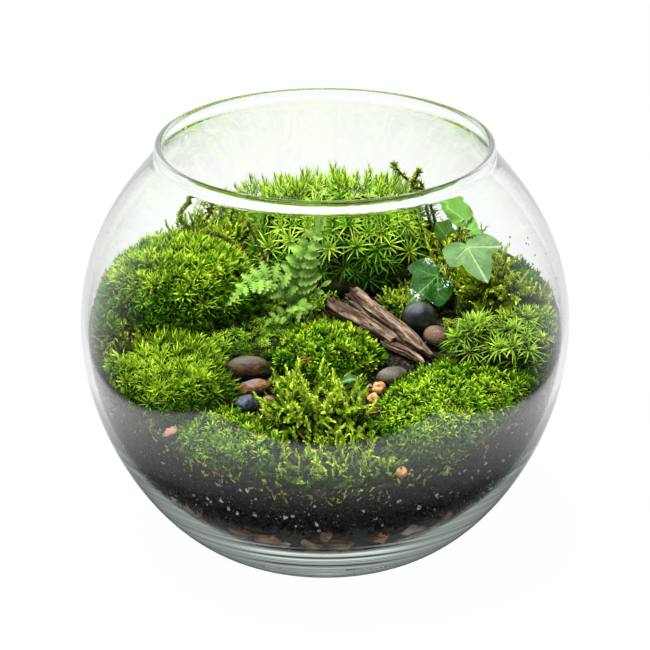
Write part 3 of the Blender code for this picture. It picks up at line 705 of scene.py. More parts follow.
def soilPoint(place):
    share = max(0.0, min(1.0, place.z))  # 0 on the underside, 1 on the top, between them up the wall
    reach, angle = math.hypot(place.x, place.y), math.atan2(place.y, place.x)
    cosine, sine = math.cos(angle), math.sin(angle)
    bottom = groundLook["soilTop"] + 0.0028 * noise.noise(Vector((cosine * 3, sine * 3, 1.0)))
    bottom -= 0.004 * max(0, noise.noise(Vector((cosine * 9, sine * 9, 4.0))))
    edge = float(soilHeight(soilShape["reach"] * cosine, soilShape["reach"] * sine))
    if reach < 0.999:
        radius = (float(wallRadius(edge if share > 0.5 else bottom)) - 0.0015) * reach
        x, y = radius * cosine, radius * sine
        if share > 0.5:
            height = float(soilHeight(x, y))
            rough = noise.noise(Vector((x, y, height)) * 320) * 0.0007
            rough += noise.noise(Vector((x, y, 0.3)) * 110) * 0.0012
            return Vector((x, y, height + rough - 0.0006))
        return Vector((x, y, bottom))
    top = edge - 0.0006
    height = bottom + (top - bottom) * share
    wall = float(wallRadius(height))
    spot = Vector((cosine * wall, sine * wall, height))
    hollow = max(0.0, noise.noise(spot * 150) + 0.05) * 0.0034
    hollow += max(0.0, noise.noise(spot * 300) + 0.1) * 0.002
    hollow += max(0.0, noise.noise(spot * 640)) * 0.001
    radius = wall - 0.0003 - hollow * min(1.0, (1 - share) * 6 + 0.2)
    return Vector((radius * cosine, radius * sine, height))


def crumbShape(lumps, seed):
    bm = bmesh.new()
    bmesh.ops.create_icosphere(bm, subdivisions=1, radius=0.5)
    for vert in bm.verts:
        vert.co *= 1 + lumps * noise.noise(vert.co * 2.3 + Vector((seed, 0, 0)))
    bmesh.ops.scale(bm, vec=(1.0, 0.8, 0.62), verts=bm.verts)
    return readShape(bm)


def cutFlat(bm, normal, depth):
    for vert in bm.verts:
        over = vert.co.dot(normal) - depth
        if over > 0:
            vert.co -= normal * over


def chipShape(seed, flat):
    bm = bmesh.new()
    bmesh.ops.create_icosphere(bm, subdivisions=3, radius=0.5)
    cutter = random.Random(seed)
    for _ in range(11):
        normal = Vector([cutter.gauss(0, 1) for _ in range(3)]).normalized()
        cutFlat(bm, normal, cutter.uniform(0.27, 0.4))
    for vert in bm.verts:
        broad = noise.noise(vert.co * 4.2 + Vector((seed, 5, 0)))
        fine = noise.noise(vert.co * 11 + Vector((seed, 2, 0)))
        vert.co *= 1 + 0.3 * broad + 0.06 * fine
    bmesh.ops.scale(bm, vec=(1.25, 0.86, flat), verts=bm.verts)
    bmesh.ops.dissolve_limit(bm, angle_limit=math.radians(5), verts=bm.verts, edges=bm.edges)
    bmesh.ops.triangulate(bm, faces=bm.faces)
    return readShape(bm)


chipFinishes = ("tanChip", "orangeChip", "paleChip", "slateChip")
# angle from the front in degrees, height, width, height of the chip, place in the list of finishes
frontChips = [
    (-27.7, 0.05, 0.0175, 0.011, 3), (-9.0, 0.0505, 0.034, 0.0115, 3), (9.5, 0.0495, 0.017, 0.0125, 3),
    (28.8, 0.0545, 0.015, 0.0075, 3), (21.5, 0.05, 0.01, 0.008, 3), (-36.0, 0.05, 0.008, 0.006, 1),
    (-25.0, 0.0425, 0.014, 0.007, 0), (-16.9, 0.0405, 0.015, 0.0085, 0), (-12.4, 0.036, 0.008, 0.0075, 2),
    (-3.3, 0.0395, 0.0145, 0.0085, 0), (0.2, 0.047, 0.0065, 0.009, 0), (4.9, 0.0395, 0.016, 0.0085, 0),
    (16.4, 0.042, 0.012, 0.0105, 1), (26.2, 0.044, 0.0155, 0.008, 2), (36.7, 0.048, 0.008, 0.009, 0),
]


def wallPlace(angle, height, inward):
    radius, turn = float(wallRadius(height)) - inward, math.radians(angle)
    return Vector((math.sin(turn) * radius, -math.cos(turn) * radius, height))


def wallNormal(place, step=0.001):
    slope = (wallRadius(place.z + step) - wallRadius(place.z - step)) / (2 * step)
    out = Vector((place.x, place.y, 0)).normalized()
    return Vector((out.x, out.y, -float(slope))).normalized()


def makeCrumbs(earth):
    shapes = [crumbShape(0.5, seed) for seed in range(5)]
    look = groundLook
    count = look["crumbs"]
    angles = scatterDice.uniform(0, fullTurn, count)
    places = ringPlaces(angles, 0.117 * np.sqrt(scatterDice.uniform(0.0, 1.0, count)))
    places[:, 2] = soilUnder(places) + 0.0002
    sizes = scatterDice.uniform(*look["crumbSize"], count)
    axes = scatterDice.normal(size=places.shape)
    part = scatter(shapes, places, axes, sizes, scatterDice.uniform(0, 0.8, count) ** 2)
    addScattered("soil_crumbs", part, [earth], 0.0003, smooth=False)

    parts = []
    for count, low, high, spread, small, large, inward, toneHigh, over in look["wallCrumbs"]:
        angles = frontAngle + scatterDice.uniform(-spread, spread, count)
        heights = np.minimum(scatterDice.uniform(low, high, count), edgeHeight(angles) + over)
        places = ringPlaces(angles, wallRadius(heights) - inward, heights)
        sizes = small + (large - small) * scatterDice.uniform(0, 1, count) ** 2
        axes = places * (1, 1, 0) + scatterDice.normal(size=places.shape) * 0.02
        parts.append(scatter(shapes, places, axes, sizes, toneHigh * scatterDice.uniform(0, 1, count) ** 2))
    count = look["strayCrumbs"]
    angles = scatterDice.normal(0.02, 0.22, count)
    angles = np.where(scatterDice.uniform(0, 1, count) < 0.25, math.pi - angles, angles)
    heights = look["strayFoot"] + np.abs(scatterDice.normal(0, look["strayReach"], count))
    places = ringPlaces(angles, wallRadius(heights) - 0.0004, heights)
    sizes = scatterDice.uniform(*look["straySize"], count)
    parts.append(scatter(shapes, places, places * (1, 1, 0), sizes, np.zeros(count)))
    addScattered("wall_crumbs", joinParts(parts), [earth], 0.0002, smooth=False)


def makePerlite():
    count, (foot, rise), (least, more) = (groundLook[key] for key in ("perlite", "perliteBand", "perliteSize"))
    angles = scatterDice.uniform(0, fullTurn, count)
    heights = foot + rise * scatterDice.uniform(0, 1, count) ** 1.1
    under = heights < edgeHeight(angles) - 0.002
    angles, heights, count = angles[under], heights[under], int(under.sum())
    places = ringPlaces(angles, wallRadius(heights) - 0.0007, heights)
    sizes = least + more * scatterDice.uniform(0, 1, count) ** 6  # mostly small
    grains = [crumbShape(1.5, seed + 20) for seed in range(6)]
    axes = scatterDice.normal(size=places.shape)
    part = scatter(grains, places, axes, sizes, scatterDice.uniform(0, 1, count))
    addScattered("perlite", part, [stoneMaterial("perlite")], 0.0003, smooth=False)


def gravelPoint(place):
    wallGap = 0.0042 + 0.0014 * noise.noise(place * 240)
    scale = min(1.0, (float(wallRadius(place.z)) - wallGap) / max(1e-6, math.hypot(place.x, place.y)))
    return Vector((place.x * scale, place.y * scale, place.z))


def makeGravel():
    outline = [(0.0, 0.0515), (0.05, 0.0515), (0.095, 0.051)] + [(0.12, z) for z in np.linspace(0.05, 0.012, 20)]
    outline += [(0.02, 0.011), (0.0, 0.011)]
    core = stoneMaterial("gravelGrit")
    turnedBody("gravel_core", outline, 150, gravelPoint, core, ["drainage_gravel"])

    look = groundLook
    chipKinds = [[chipShape(seed + 10 * k, flat) for seed in range(5)] for k, flat in enumerate(look["chipFlats"])]
    placedAngle, placedHeight = look["placedChips"]
    rows = list(frontChips)
    for row in range(look["chipRows"]):
        height = look["chipFoot"] + look["chipPitch"] * row
        around = round(fullTurn * float(wallRadius(height)) / look["chipPitch"])
        for k in range(around):
            angle = 360 * (k + 0.5 * (row % 2)) / around + dice.uniform(-2, 2)
            angle = (angle + 180) % 360 - 180
            if abs(angle) < placedAngle and height > placedHeight:
                continue
            kind = dice.choices(range(len(chipKinds)), look["chipShares"])[0]
            middle = height + dice.uniform(-0.003, 0.003)
            rows.append((angle, middle, dice.uniform(*look["chipWidth"]), dice.uniform(*look["chipHeight"]), kind))
    parts = []
    for angle, height, width, tall, kind in rows:
        shape = dice.choice(chipKinds[kind])
        place = wallPlace(angle, height, 0.0022 + 0.18 * tall)
        out = wallNormal(place)
        across = upward.cross(out).normalized()
        up = out.cross(across)
        lean = math.radians(dice.uniform(-look["chipTilt"][kind], look["chipTilt"][kind]))
        cosine, sine = math.cos(lean), math.sin(lean)
        across, up = across * cosine + up * sine, up * cosine - across * sine
        turn = np.array([across * (width / 1.25), up * (tall / 0.86), out * 0.9 * tall]).T
        parts.append(shape | {
            "points": shape["points"] @ turn.T + np.array(place),
            "slots": np.full(len(shape["sizes"]), kind),
            "tone": np.full(len(shape["points"]), dice.random()),
        })
    stones = [stoneMaterial(name) for name in chipFinishes]
    addScattered("gravel_chips", joinParts(parts), stones, 0.0002, smooth=False)


def makeGround():
    earth = newMaterial("soil", soilSurface)
    outline = [(r, 1.0) for r in np.linspace(0, 0.99, groundLook["rings"])]
    outline += [(1.0, s) for s in np.linspace(1, 0, groundLook["wallSteps"])]
    outline += [(r, 0.0) for r in np.linspace(0.97, 0, 10)]
    turnedBody("soil", outline, groundLook["turns"], soilPoint, earth, ["potting_soil"])
    makeCrumbs(earth)
    makePerlite()
    makeGravel()


makeGround()
print("ground ready")


def addBlade(bm, layer, length, width, lean, bend, turn, height, rows=3, low=0.0, widest=0.35):
    grid = bmesh.ops.create_grid(bm, x_segments=1, y_segments=rows, size=0.5)["verts"]
    cosine, sine = math.cos(turn), math.sin(turn)
    for vert in grid:
        t, s = vert.co.y + 0.5, vert.co.x * 2
        angle = lean + 0.5 * bend * t
        out, rise = 0.0002 + length * t * math.sin(angle), height + length * t * math.cos(angle)
        swell = (t / widest) ** 0.5 if t < widest else ((1 - t) / (1 - widest)) ** 0.85
        half = 0.5 * width * (0.35 + 0.65 * swell if t < widest else swell)
        vert.co = (out * cosine - s * half * sine, out * sine + s * half * cosine, rise)
        vert[layer] = low + (1 - low) * t
    return grid


def tuftShape(seed, count, length, width, lean, tip, bend, height, rows=3, widest=0.35):
    chance = random.Random(seed)
    bm, layer = newShape("along")
    for i in range(count):
        share = i / (count - 1)
        angle = math.radians(lean + (tip - lean) * share + chance.uniform(-9, 9))
        size = chance.uniform(0.8, 1.15) * (1.0 - 0.25 * share)
        wide, curve = width * chance.uniform(0.8, 1.2), math.radians(bend * chance.uniform(0.4, 1.4))
        turn = i * 2.4 + chance.uniform(-0.3, 0.3)
        addBlade(bm, layer, length * size, wide, angle, curve, turn, height * share, rows, 0.25 * share, widest)
    return readShape(bm)


def starShape(seed, count, inner, length, width, stem, drop, rows=4):
    chance = random.Random(seed)
    bm, layer = newShape("along")
    lean = chance.uniform(-0.1, 0.1)
    stalk = [(0, 0, -stem), (lean * stem, 0, -stem * 0.5), (0, 0, 0.0006)]
    addTube(bm, stalk, [0.00045, 0.0004, 0.0003], 3, layer, (0.1, 0.5))
    for i in range(count):
        angle = math.radians(chance.uniform(62, 84))
        long, curve = length * chance.uniform(0.78, 1.1), math.radians(drop * chance.uniform(0.3, 1.5))
        turn, height = fullTurn * (i + chance.uniform(-0.25, 0.25)) / count, chance.uniform(-0.0009, 0.0003)
        addBlade(bm, layer, long, width, angle, curve, turn, height, rows, 0.28, 0.25)
    for i in range(inner):
        long, angle = length * chance.uniform(0.45, 0.72), math.radians(chance.uniform(14, 50))
        addBlade(bm, layer, long, width * 0.9, angle, math.radians(14), 2.4 * i, 0.0004, 3, 0.42, 0.3)
    for i in range(8):
        angle, height = math.radians(chance.uniform(30, 55)), -stem * (0.2 + 0.75 * i / 8)
        addBlade(bm, layer, length * 0.5, width * 0.8, angle, math.radians(20), 2.4 * i + 1, height, 2, widest=0.3)
    return readShape(bm)


def strandShape(seed, length, leaf, width, count, sway, flat=0.0, lean=38):
    chance = random.Random(seed)
    bm, layer = newShape("along")
    heading, turnEach = math.radians(chance.uniform(-25, 25)), math.radians(sway * chance.uniform(0.6, 1.3))
    path = [Vector((0, 0, 0))]
    for i in range(8):
        step = Vector((math.sin(heading), 0.12 * math.sin(i + seed), math.cos(heading))).normalized()
        path.append(path[-1] + step * (length / 8))
        heading += turnEach / 8
    addTube(bm, path[::2], [width * share for share in (0.28, 0.26, 0.22, 0.18, 0.1)], 3, layer, (0.0, 0.8))
    for i in range(count):
        share = (i + 0.5) / count
        spot = share * 8
        k = min(7, int(spot))
        base = path[k].lerp(path[k + 1], spot - k)
        frameTurn = (path[k + 1] - path[k]).to_track_quat("Z", "Y").to_matrix().to_4x4()
        turn = i * 2.4 if flat == 0 else (math.pi * (i % 2) + chance.uniform(-flat, flat) + math.pi / 2)
        size = (1.0 - 0.5 * share) * chance.uniform(0.8, 1.2)
        angle = math.radians(lean * (1.15 - 0.6 * share) * chance.uniform(0.7, 1.25))
        made = addBlade(bm, layer, leaf * size, width * size, angle, math.radians(18), turn, 0, 2, share * 0.6, 0.4)
        bmesh.ops.transform(bm, matrix=Matrix.Translation(base) @ frameTurn, verts=made)
        for vert in made:
            vert[layer] = min(1.0, 0.25 + 0.55 * share + 0.35 * vert[layer])
    return readShape(bm)


# colours at the foot (darker old stems, with painted shade), in the middle, at the tip (fresh growth, with painted
# light), and of old shoots
mossShades = {
    "cushionMoss": ((0.004, 0.017, 0.001), (0.062, 0.205, 0.002), (0.43, 0.6, 0.03), (0.26, 0.17, 0.035)),
    "haircapMoss": ((0.003, 0.014, 0.001), (0.07, 0.215, 0.005), (0.41, 0.6, 0.045), (0.15, 0.12, 0.03)),
    "combMoss": ((0.03, 0.015, 0.005), (0.05, 0.14, 0.008), (0.3, 0.47, 0.045), (0.2, 0.09, 0.03)),
    "featherMoss": ((0.012, 0.024, 0.001), (0.1, 0.19, 0.002), (0.45, 0.56, 0.03), (0.28, 0.17, 0.04)),
    "strapMoss": ((0.008, 0.026, 0.001), (0.095, 0.24, 0.003), (0.5, 0.65, 0.05), (0.34, 0.25, 0.06)),
}


# painted shade: a near-black sheet sunk under the shoots fills the gaps between them
def shadeBedSurface(tree):
    place = objectPlace(tree)
    base = mixColor(tree, mottle(tree, place, 300.0, 0.4, 0.65), (0.004, 0.007, 0.002), (0.016, 0.03, 0.004))
    base = mixColor(tree, mottle(tree, place, 1400.0, 0.35, 0.7), base, (0.014, 0.012, 0.005))
    normal = bumpOf(tree, mottle(tree, place, 1400.0, 0.35, 0.7, "Height"), 0.8, 0.0006)
    values = {"Base Color": base, "Normal": normal, "Roughness": 0.9, "Specular IOR Level": 0.05}
    return principled(tree, values)


def shapeFamily(build, seed, number, *values, **options):
    return [build(seed + k, *values, **options) for k in range(number)]


mossKinds = {
    "tuft": shapeFamily(tuftShape, 0, 6, 15, 0.007, 0.00112, 60, 8, 30, 0.003),
    "needle": shapeFamily(tuftShape, 20, 6, 18, 0.0082, 0.00086, 74, 8, 30, 0.0036, widest=0.3),
    "rosette": shapeFamily(tuftShape, 40, 5, 13, 0.0042, 0.00112, 74, 12, 18, 0.003, widest=0.45),
    "curl": shapeFamily(tuftShape, 60, 5, 13, 0.005, 0.001, 56, 8, 64, 0.0026),
    "fine": shapeFamily(tuftShape, 80, 5, 11, 0.003, 0.0008, 62, 10, 20, 0.0026),
    "star": shapeFamily(starShape, 100, 6, 12, 6, 0.0094, 0.00098, 0.013, 24),
    "longStar": shapeFamily(starShape, 220, 5, 17, 10, 0.0112, 0.00105, 0.012, 34),
    "spray": shapeFamily(tuftShape, 180, 5, 20, 0.0088, 0.00084, 62, 6, 20, 0.011, widest=0.25),
    "comb": shapeFamily(starShape, 120, 5, 20, 9, 0.0068, 0.00062, 0.008, 16, rows=3),
    "feather": shapeFamily(strandShape, 140, 6, 0.013, 0.0026, 0.0014, 34, 70),
    "strap": shapeFamily(strandShape, 160, 6, 0.014, 0.0036, 0.0019, 32, 60, flat=0.45, lean=48),
}

# kinds with their shade and share, spacing, size, how far below the dome its roots are, how upright, mean tone
mossBeds = {
    "cushion_moss_large": (
        (("tuft", "cushionMoss", 0.85), ("needle", "cushionMoss", 0.15)), 0.0035, 1.0, 0.0078, 0.3, 0.46),
    "cushion_moss_front_left": ((("needle", "cushionMoss", 1.0),), 0.004, 0.92, 0.0132, 0.25, 0.76),
    "cushion_moss_center": ((("rosette", "cushionMoss", 1.0),), 0.0028, 1.0, 0.004, 0.3, 0.46),
    "cushion_moss_front_right": ((("curl", "cushionMoss", 1.0),), 0.0029, 1.0, 0.004, 0.25, 0.46),
    "cushion_moss_low_left": (
        (("fine", "cushionMoss", 0.8), ("curl", "cushionMoss", 0.2)), 0.00235, 1.0, 0.0026, 0.25, 0.45),
    "haircap_moss_back": ((("star", "haircapMoss", 1.0),), 0.0072, 1.0, 0.0016, 0.4, 0.52),
    "haircap_moss_right": (
        (("longStar", "combMoss", 0.55), ("star", "haircapMoss", 0.2), ("feather", "featherMoss", 0.25)),
        0.0058, 1.0, 0.0026, 0.6, 0.58),
    "haircap_moss_by_fern": (
        (("comb", "haircapMoss", 0.6), ("fine", "cushionMoss", 0.4)), 0.0038, 0.75, 0.001, 0.4, 0.35),
    "feather_moss_right": (
        (("feather", "featherMoss", 0.8), ("strap", "featherMoss", 0.2)), 0.0043, 1.05, 0.014, 0.35, 0.5),
    "feather_moss_right_rear": ((("feather", "featherMoss", 1.0),), 0.0043, 1.15, 0.005, 0.4, 0.5),
    "feather_moss_front": (
        (("strap", "strapMoss", 0.75), ("feather", "strapMoss", 0.25)), 0.004, 1.0, 0.007, 0.3, 0.56),
    "feather_moss_low_front": (
        (("feather", "strapMoss", 0.6), ("strap", "strapMoss", 0.4)), 0.0034, 0.75, 0.004, 0.2, 0.5),
    "feather_moss_left_rear": (
        (("feather", "featherMoss", 0.4), ("strap", "strapMoss", 0.4), ("star", "haircapMoss", 0.2)),
        0.0044, 1.05, 0.005, 0.3, 0.62),
    "feather_moss_by_wood": ((("strap", "strapMoss", 1.0),), 0.0026, 0.55, 0.003, 0.35, 0.45),
    "feather_moss_wood_end": ((("strap", "strapMoss", 1.0),), 0.0026, 0.55, 0.003, 0.35, 0.45),
}
mossLook = {
    "hollowScale": 165.0,
    "hollowDepth": 0.0044,  # how much lower the shoots stand between the tufts
    "swing": 0.2,  # how much the shoots lean at random
    "sizes": (0.72, 1.22),
    "toneSpread": 0.28,
    "oldShare": 0.012,
    "headroom": 0.002,  # nearest a shoot may stand below a stone or the wood
    "footPaintedShade": 0.1,  # painted shade: darkness at a clump's foot
    "sideGap": 0.0022,  # to the glass at the sides
}
# slopes some clumps stay under, as a direction and how far along it they may reach
mossSlopes = {
    "feather_moss_right": [((0.777, 0.259, 0.573), 0.159)],
    "feather_moss_right_rear": [((0.777, 0.259, 0.573), 0.159)],
    "cushion_moss_front_left": [((-0.545, 0.345, 0.764), 0.1278), ((0.0, 0.412, 0.911), 0.0972)],
}


def scatterOn(bm, spacing, seed):
    chance = np.random.default_rng(seed)
    bm.verts.index_update()
    triangles = np.array([[vert.index for vert in face.verts] for face in bm.faces])
    points = np.array([vert.co[:] for vert in bm.verts])
    normals = np.array([vert.normal[:] for vert in bm.verts])
    a, b, c = points[triangles[:, 0]], points[triangles[:, 1]], points[triangles[:, 2]]
    area = 0.5 * np.linalg.norm(np.cross(b - a, c - a), axis=1)
    tries = int(area.sum() / spacing**2 * 7)
    chosen = chance.choice(len(triangles), size=tries, p=area / area.sum())
    u, v = chance.random(tries), chance.random(tries)
    free = np.array([face.normal.z > -0.35 for face in bm.faces])[chosen]  # not the underside
    chosen, u, v = chosen[free], u[free], v[free]
    flip = u + v > 1
    u[flip], v[flip] = 1 - u[flip], 1 - v[flip]
    weights = np.stack([1 - u - v, u, v], axis=1)
    spots = np.einsum("nk,nkj->nj", weights, points[triangles[chosen]])
    facing = np.einsum("nk,nkj->nj", weights, normals[triangles[chosen]])
    facing[:, 2] = np.maximum(facing[:, 2], 0.05)
    facing /= np.linalg.norm(facing, axis=1, keepdims=True)
    taken, kept = {}, []
    cells = np.floor(spots / spacing).astype(int)
    steps = [(i, j, l) for i in (-1, 0, 1) for j in (-1, 0, 1) for l in (-1, 0, 1)]
    for k, (i, j, l) in enumerate(cells):
        near = (m for di, dj, dl in steps for m in taken.get((i + di, j + dj, l + dl), ()))
        if all(np.abs(spots[m] - spots[k]).sum() > spacing * 1.25 for m in near):
            taken.setdefault((i, j, l), []).append(k)
            kept.append(k)
    return spots[kept], facing[kept]


def obstacleTree(skip):
    points, faces = [], []
    for name, node in cadNodes.items():
        if name == skip or name.startswith(("glass", "fern", "ivy", "twig", "stalk", "fallen", "drainage")):
            continue
        start = len(points)
        points += [vert.co.copy() for vert in node.data.vertices]
        faces += [[start + k for k in face.vertices] for face in node.data.polygons]
    return BVHTree.FromPolygons(points, faces)


def sinkDome(bm, node, sink):
    bmesh.ops.subdivide_edges(bm, edges=bm.edges, cuts=2, use_grid_fill=True, smooth=0.6)
    bm.normal_update()
    for vert in bm.verts:
        floor = float(soilHeight(vert.co.x, vert.co.y))
        step = min(sink, 0.65 * max(0.0, vert.co.z - floor))
        vert.co -= vert.normal * (step + 0.0009 * noise.noise(vert.co * 350))
        for way, reach in mossSlopes.get(node, ()):
            vert.co -= Vector(way) * max(0.0, vert.co.dot(way) - reach + (0.003 if "feather" in node else sink))
        vert.co.z = max(vert.co.z, floor + 0.0001)
    return readShape(bm)


def makeMossBed(bed, number, node):
    look = mossLook
    mix, spacing, size, depth, upright, meanTone = mossBeds[node]
    bm = cadCopy(node)
    low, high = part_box(node)
    spots, facing = scatterOn(bm, spacing, 200 + number)
    ground = soilUnder(spots)
    sunk = np.minimum(depth, 0.75 * (spots[:, 2] - ground))
    axes = facing * (1 - upright) + np.array([0, 0, upright]) + scatterDice.normal(size=facing.shape) * look["swing"]
    axes /= np.linalg.norm(axes, axis=1, keepdims=True)
    tree = obstacleTree(node)
    hits = [
        tree.ray_cast(Vector(spot) + Vector(out) * 0.0002, Vector(axis), 0.0045)[3]
        for spot, out, axis in zip(spots, facing, axes)
    ]
    keep = np.array([hit is None or hit > look["headroom"] for hit in hits])
    spots, axes, sunk, facing = (values[keep] for values in (spots, axes, sunk, facing))
    for way, reach in mossSlopes.get(node, ()):
        over = np.maximum(0.0, spots @ way - reach)
        spots = spots - over[:, None] * way
        keep = (over < 0.012) & (spots[:, 2] > soilUnder(spots))
        spots, axes, sunk, facing = (values[keep] for values in (spots, axes, sunk, facing))
    lumps = np.array([noise.noise(Vector(spot) * look["hollowScale"]) for spot in spots])
    hollow = np.clip(0.15 - lumps * 1.6, 0, 1) * look["hollowDepth"]
    hollow = np.minimum(hollow, np.maximum(0.0, spots[:, 2] - soilUnder(spots) - sunk - 0.001))
    roots = spots - facing * (sunk + hollow)[:, None]
    scales = size * scatterDice.uniform(*look["sizes"], len(spots))
    # painted shade: shoots in the hollows between the tufts get a darker tone
    tones = scatterDice.normal(meanTone, look["toneSpread"], len(spots)) + 0.5 * np.clip(lumps, -0.5, 0.5)
    tones = np.clip(tones, 0.11, 1)
    tones[scatterDice.uniform(0, 1, len(spots)) < look["oldShare"]] = 0.02
    picked = scatterDice.choice(len(mix), size=len(spots), p=[share for _, _, share in mix])
    shades = sorted({shade for _, shade, _ in mix})
    tall = high.z - low.z
    parts = []
    for k, (kind, shade, _) in enumerate(mix):
        chosen = np.flatnonzero(picked == k)
        if len(chosen):
            each = (values[chosen] for values in (roots, axes, scales, tones))
            shoots = scatter(mossKinds[kind], *each, 1 + shades.index(shade))
            # painted shade: the lower shoots of a clump take more of the dark foot colour
            share = (shoots["points"][:, 2] - low.z) / tall
            shoots["along"] *= np.clip(look["footPaintedShade"] + 1.3 * share, look["footPaintedShade"], 1)
            parts.append(shoots)
    # the dome, sunk under the shoots, carries the dark painted-shade sheet
    sink = min(0.009 if mix[0][0] in ("star", "comb") else depth + 0.0006, 0.5 * tall)
    part = joinParts([sinkDome(bm, node, sink), *parts])
    materials = [bed, *[mossMaterials[shade] for shade in shades]]
    addScattered(node + "_growth", part, materials, 0.0004, look["sideGap"], [node])
    print(node, len(spots), "shoots,", int(sum(part["sizes"] - 2)), "triangles")


looseMoss = {
    "edgeTufts": 420,  # strands along the front edge
    "edgeSpread": 1.35,  # how far round from the front
    "edgeInward": 0.0032,
    "edgeSize": (0.3, 0.65),
    "sideTufts": 230,  # tufts along the sides
    "sideInward": (0.003, 0.013),
    "sideSize": (0.5, 0.95),
    "sidePaintedShade": 0.62,  # painted shade: darker than the clumps
}
# x, y, half widths, kind, shade, spacing, size, mean tone
groundPatches = [
    (-0.018, -0.004, 0.02, 0.016, "fine", "cushionMoss", 0.0028, 1.0, 0.3),
    (-0.01, 0.02, 0.022, 0.018, "feather", "featherMoss", 0.0036, 0.55, 0.3),
    (-0.1, -0.022, 0.016, 0.03, "feather", "featherMoss", 0.0034, 0.65, 0.3),
    (-0.004, -0.048, 0.026, 0.01, "fine", "cushionMoss", 0.0028, 1.0, 0.4),
    (0.056, 0.034, 0.02, 0.022, "feather", "featherMoss", 0.0034, 0.6, 0.4),
    (0.072, -0.008, 0.016, 0.012, "feather", "featherMoss", 0.0034, 0.6, 0.35),
    (0.1, -0.055, 0.02, 0.02, "fine", "cushionMoss", 0.003, 1.0, 0.4),
    (-0.04, 0.052, 0.03, 0.022, "feather", "featherMoss", 0.0036, 0.6, 0.25),
    (0.0, 0.1, 0.11, 0.024, "feather", "featherMoss", 0.0044, 0.7, 0.35),
    (0.095, 0.055, 0.026, 0.026, "fine", "cushionMoss", 0.0032, 1.0, 0.35),
    (-0.1, 0.055, 0.024, 0.026, "fine", "cushionMoss", 0.0032, 1.0, 0.35),
    (0.02, -0.08, 0.018, 0.01, "feather", "strapMoss", 0.0034, 0.6, 0.45),
]


def makeGroundMoss():
    blocked = obstacleTree("potting_soil")
    parts, shades = [], sorted({patch[5] for patch in groundPatches})
    for x, y, halfX, halfY, kind, shade, spacing, size, meanTone in groundPatches:
        count = int(math.pi * halfX * halfY / spacing**2 * 1.3)
        angle, reach = scatterDice.uniform(0, fullTurn, count), np.sqrt(scatterDice.uniform(0, 1, count))
        spots = np.stack([halfX * reach * np.cos(angle), halfY * reach * np.sin(angle), np.zeros(count)], axis=1)
        spots += (x, y, 0)
        spots = spots[np.hypot(spots[:, 0], spots[:, 1]) < 0.117]
        spots[:, 2] = soilUnder(spots)
        free = [blocked.ray_cast(Vector(spot) - upward * 0.0002, upward, 0.06)[3] is None for spot in spots]
        spots = spots[free]
        axes = scatterDice.normal(size=spots.shape) * 0.4 + (0, -0.15, 1)
        sizes = size * scatterDice.uniform(0.7, 1.2, len(spots))
        tones = np.clip(scatterDice.normal(meanTone, 0.2, len(spots)), 0.09, 1)
        parts.append(scatter(mossKinds[kind], spots - (0, 0, 0.001), axes, sizes, tones, shades.index(shade)))

    look, soilReach = looseMoss, soilShape["reach"]
    count, spread = look["edgeTufts"], look["edgeSpread"]
    spots = ringPlaces(frontAngle + scatterDice.uniform(-spread, spread, count), soilReach)
    spots[:, 2] = soilUnder(spots) + scatterDice.uniform(-0.0012, 0.001, count)
    spots[:, :2] *= ((wallRadius(spots[:, 2]) - look["edgeInward"]) / soilReach)[:, None]
    axes = spots * (6, 6, 0) + scatterDice.normal(size=spots.shape) * 0.6 + (0, 0, -0.1)
    tones = np.where(scatterDice.uniform(0, 1, count) < 0.3, 0.0, scatterDice.uniform(0.15, 0.6, count))
    sizes = scatterDice.uniform(*look["edgeSize"], count)
    parts.append(scatter(mossKinds["feather"], spots, axes, sizes, tones, shades.index("strapMoss")))

    count = look["sideTufts"]
    angles = scatterDice.uniform(-0.75, 0.45, count)
    angles = np.where(scatterDice.uniform(0, 1, count) < 0.62, math.pi - 0.15 - 0.5 * angles, angles)
    spots = ringPlaces(angles, soilReach)
    spots[:, 2] = soilUnder(spots)
    inward = scatterDice.uniform(*look["sideInward"], count)
    spots[:, :2] *= ((wallRadius(spots[:, 2]) - inward) / soilReach)[:, None]
    axes = scatterDice.normal(size=spots.shape) * 0.35 + (0, -0.2, 1)
    sizes, tones = scatterDice.uniform(*look["sideSize"], count), scatterDice.uniform(0.15, 0.75, count)
    parts.append(scatter(mossKinds["tuft"], spots, axes, sizes, tones, shades.index("cushionMoss")))
    # painted shade: the side tufts take more of the dark foot colour
    parts[-1]["along"] *= look["sidePaintedShade"]
    part = joinParts(parts)
    addScattered("ground_moss", part, [mossMaterials[shade] for shade in shades], 0.0004, 0.0016)
    print("ground moss", int(sum(part["sizes"] - 2)), "triangles")


tallShoots = {
    "node": "haircap_moss_back",
    "count": 122,
    "reach": 0.011,  # how far they stand beyond the clump's sides
    "sunk": 0.0066,
    "swing": 0.16,
    "spread": 0.5,  # how far the outer ones lean out
    "sizes": (0.72, 1.12),
}


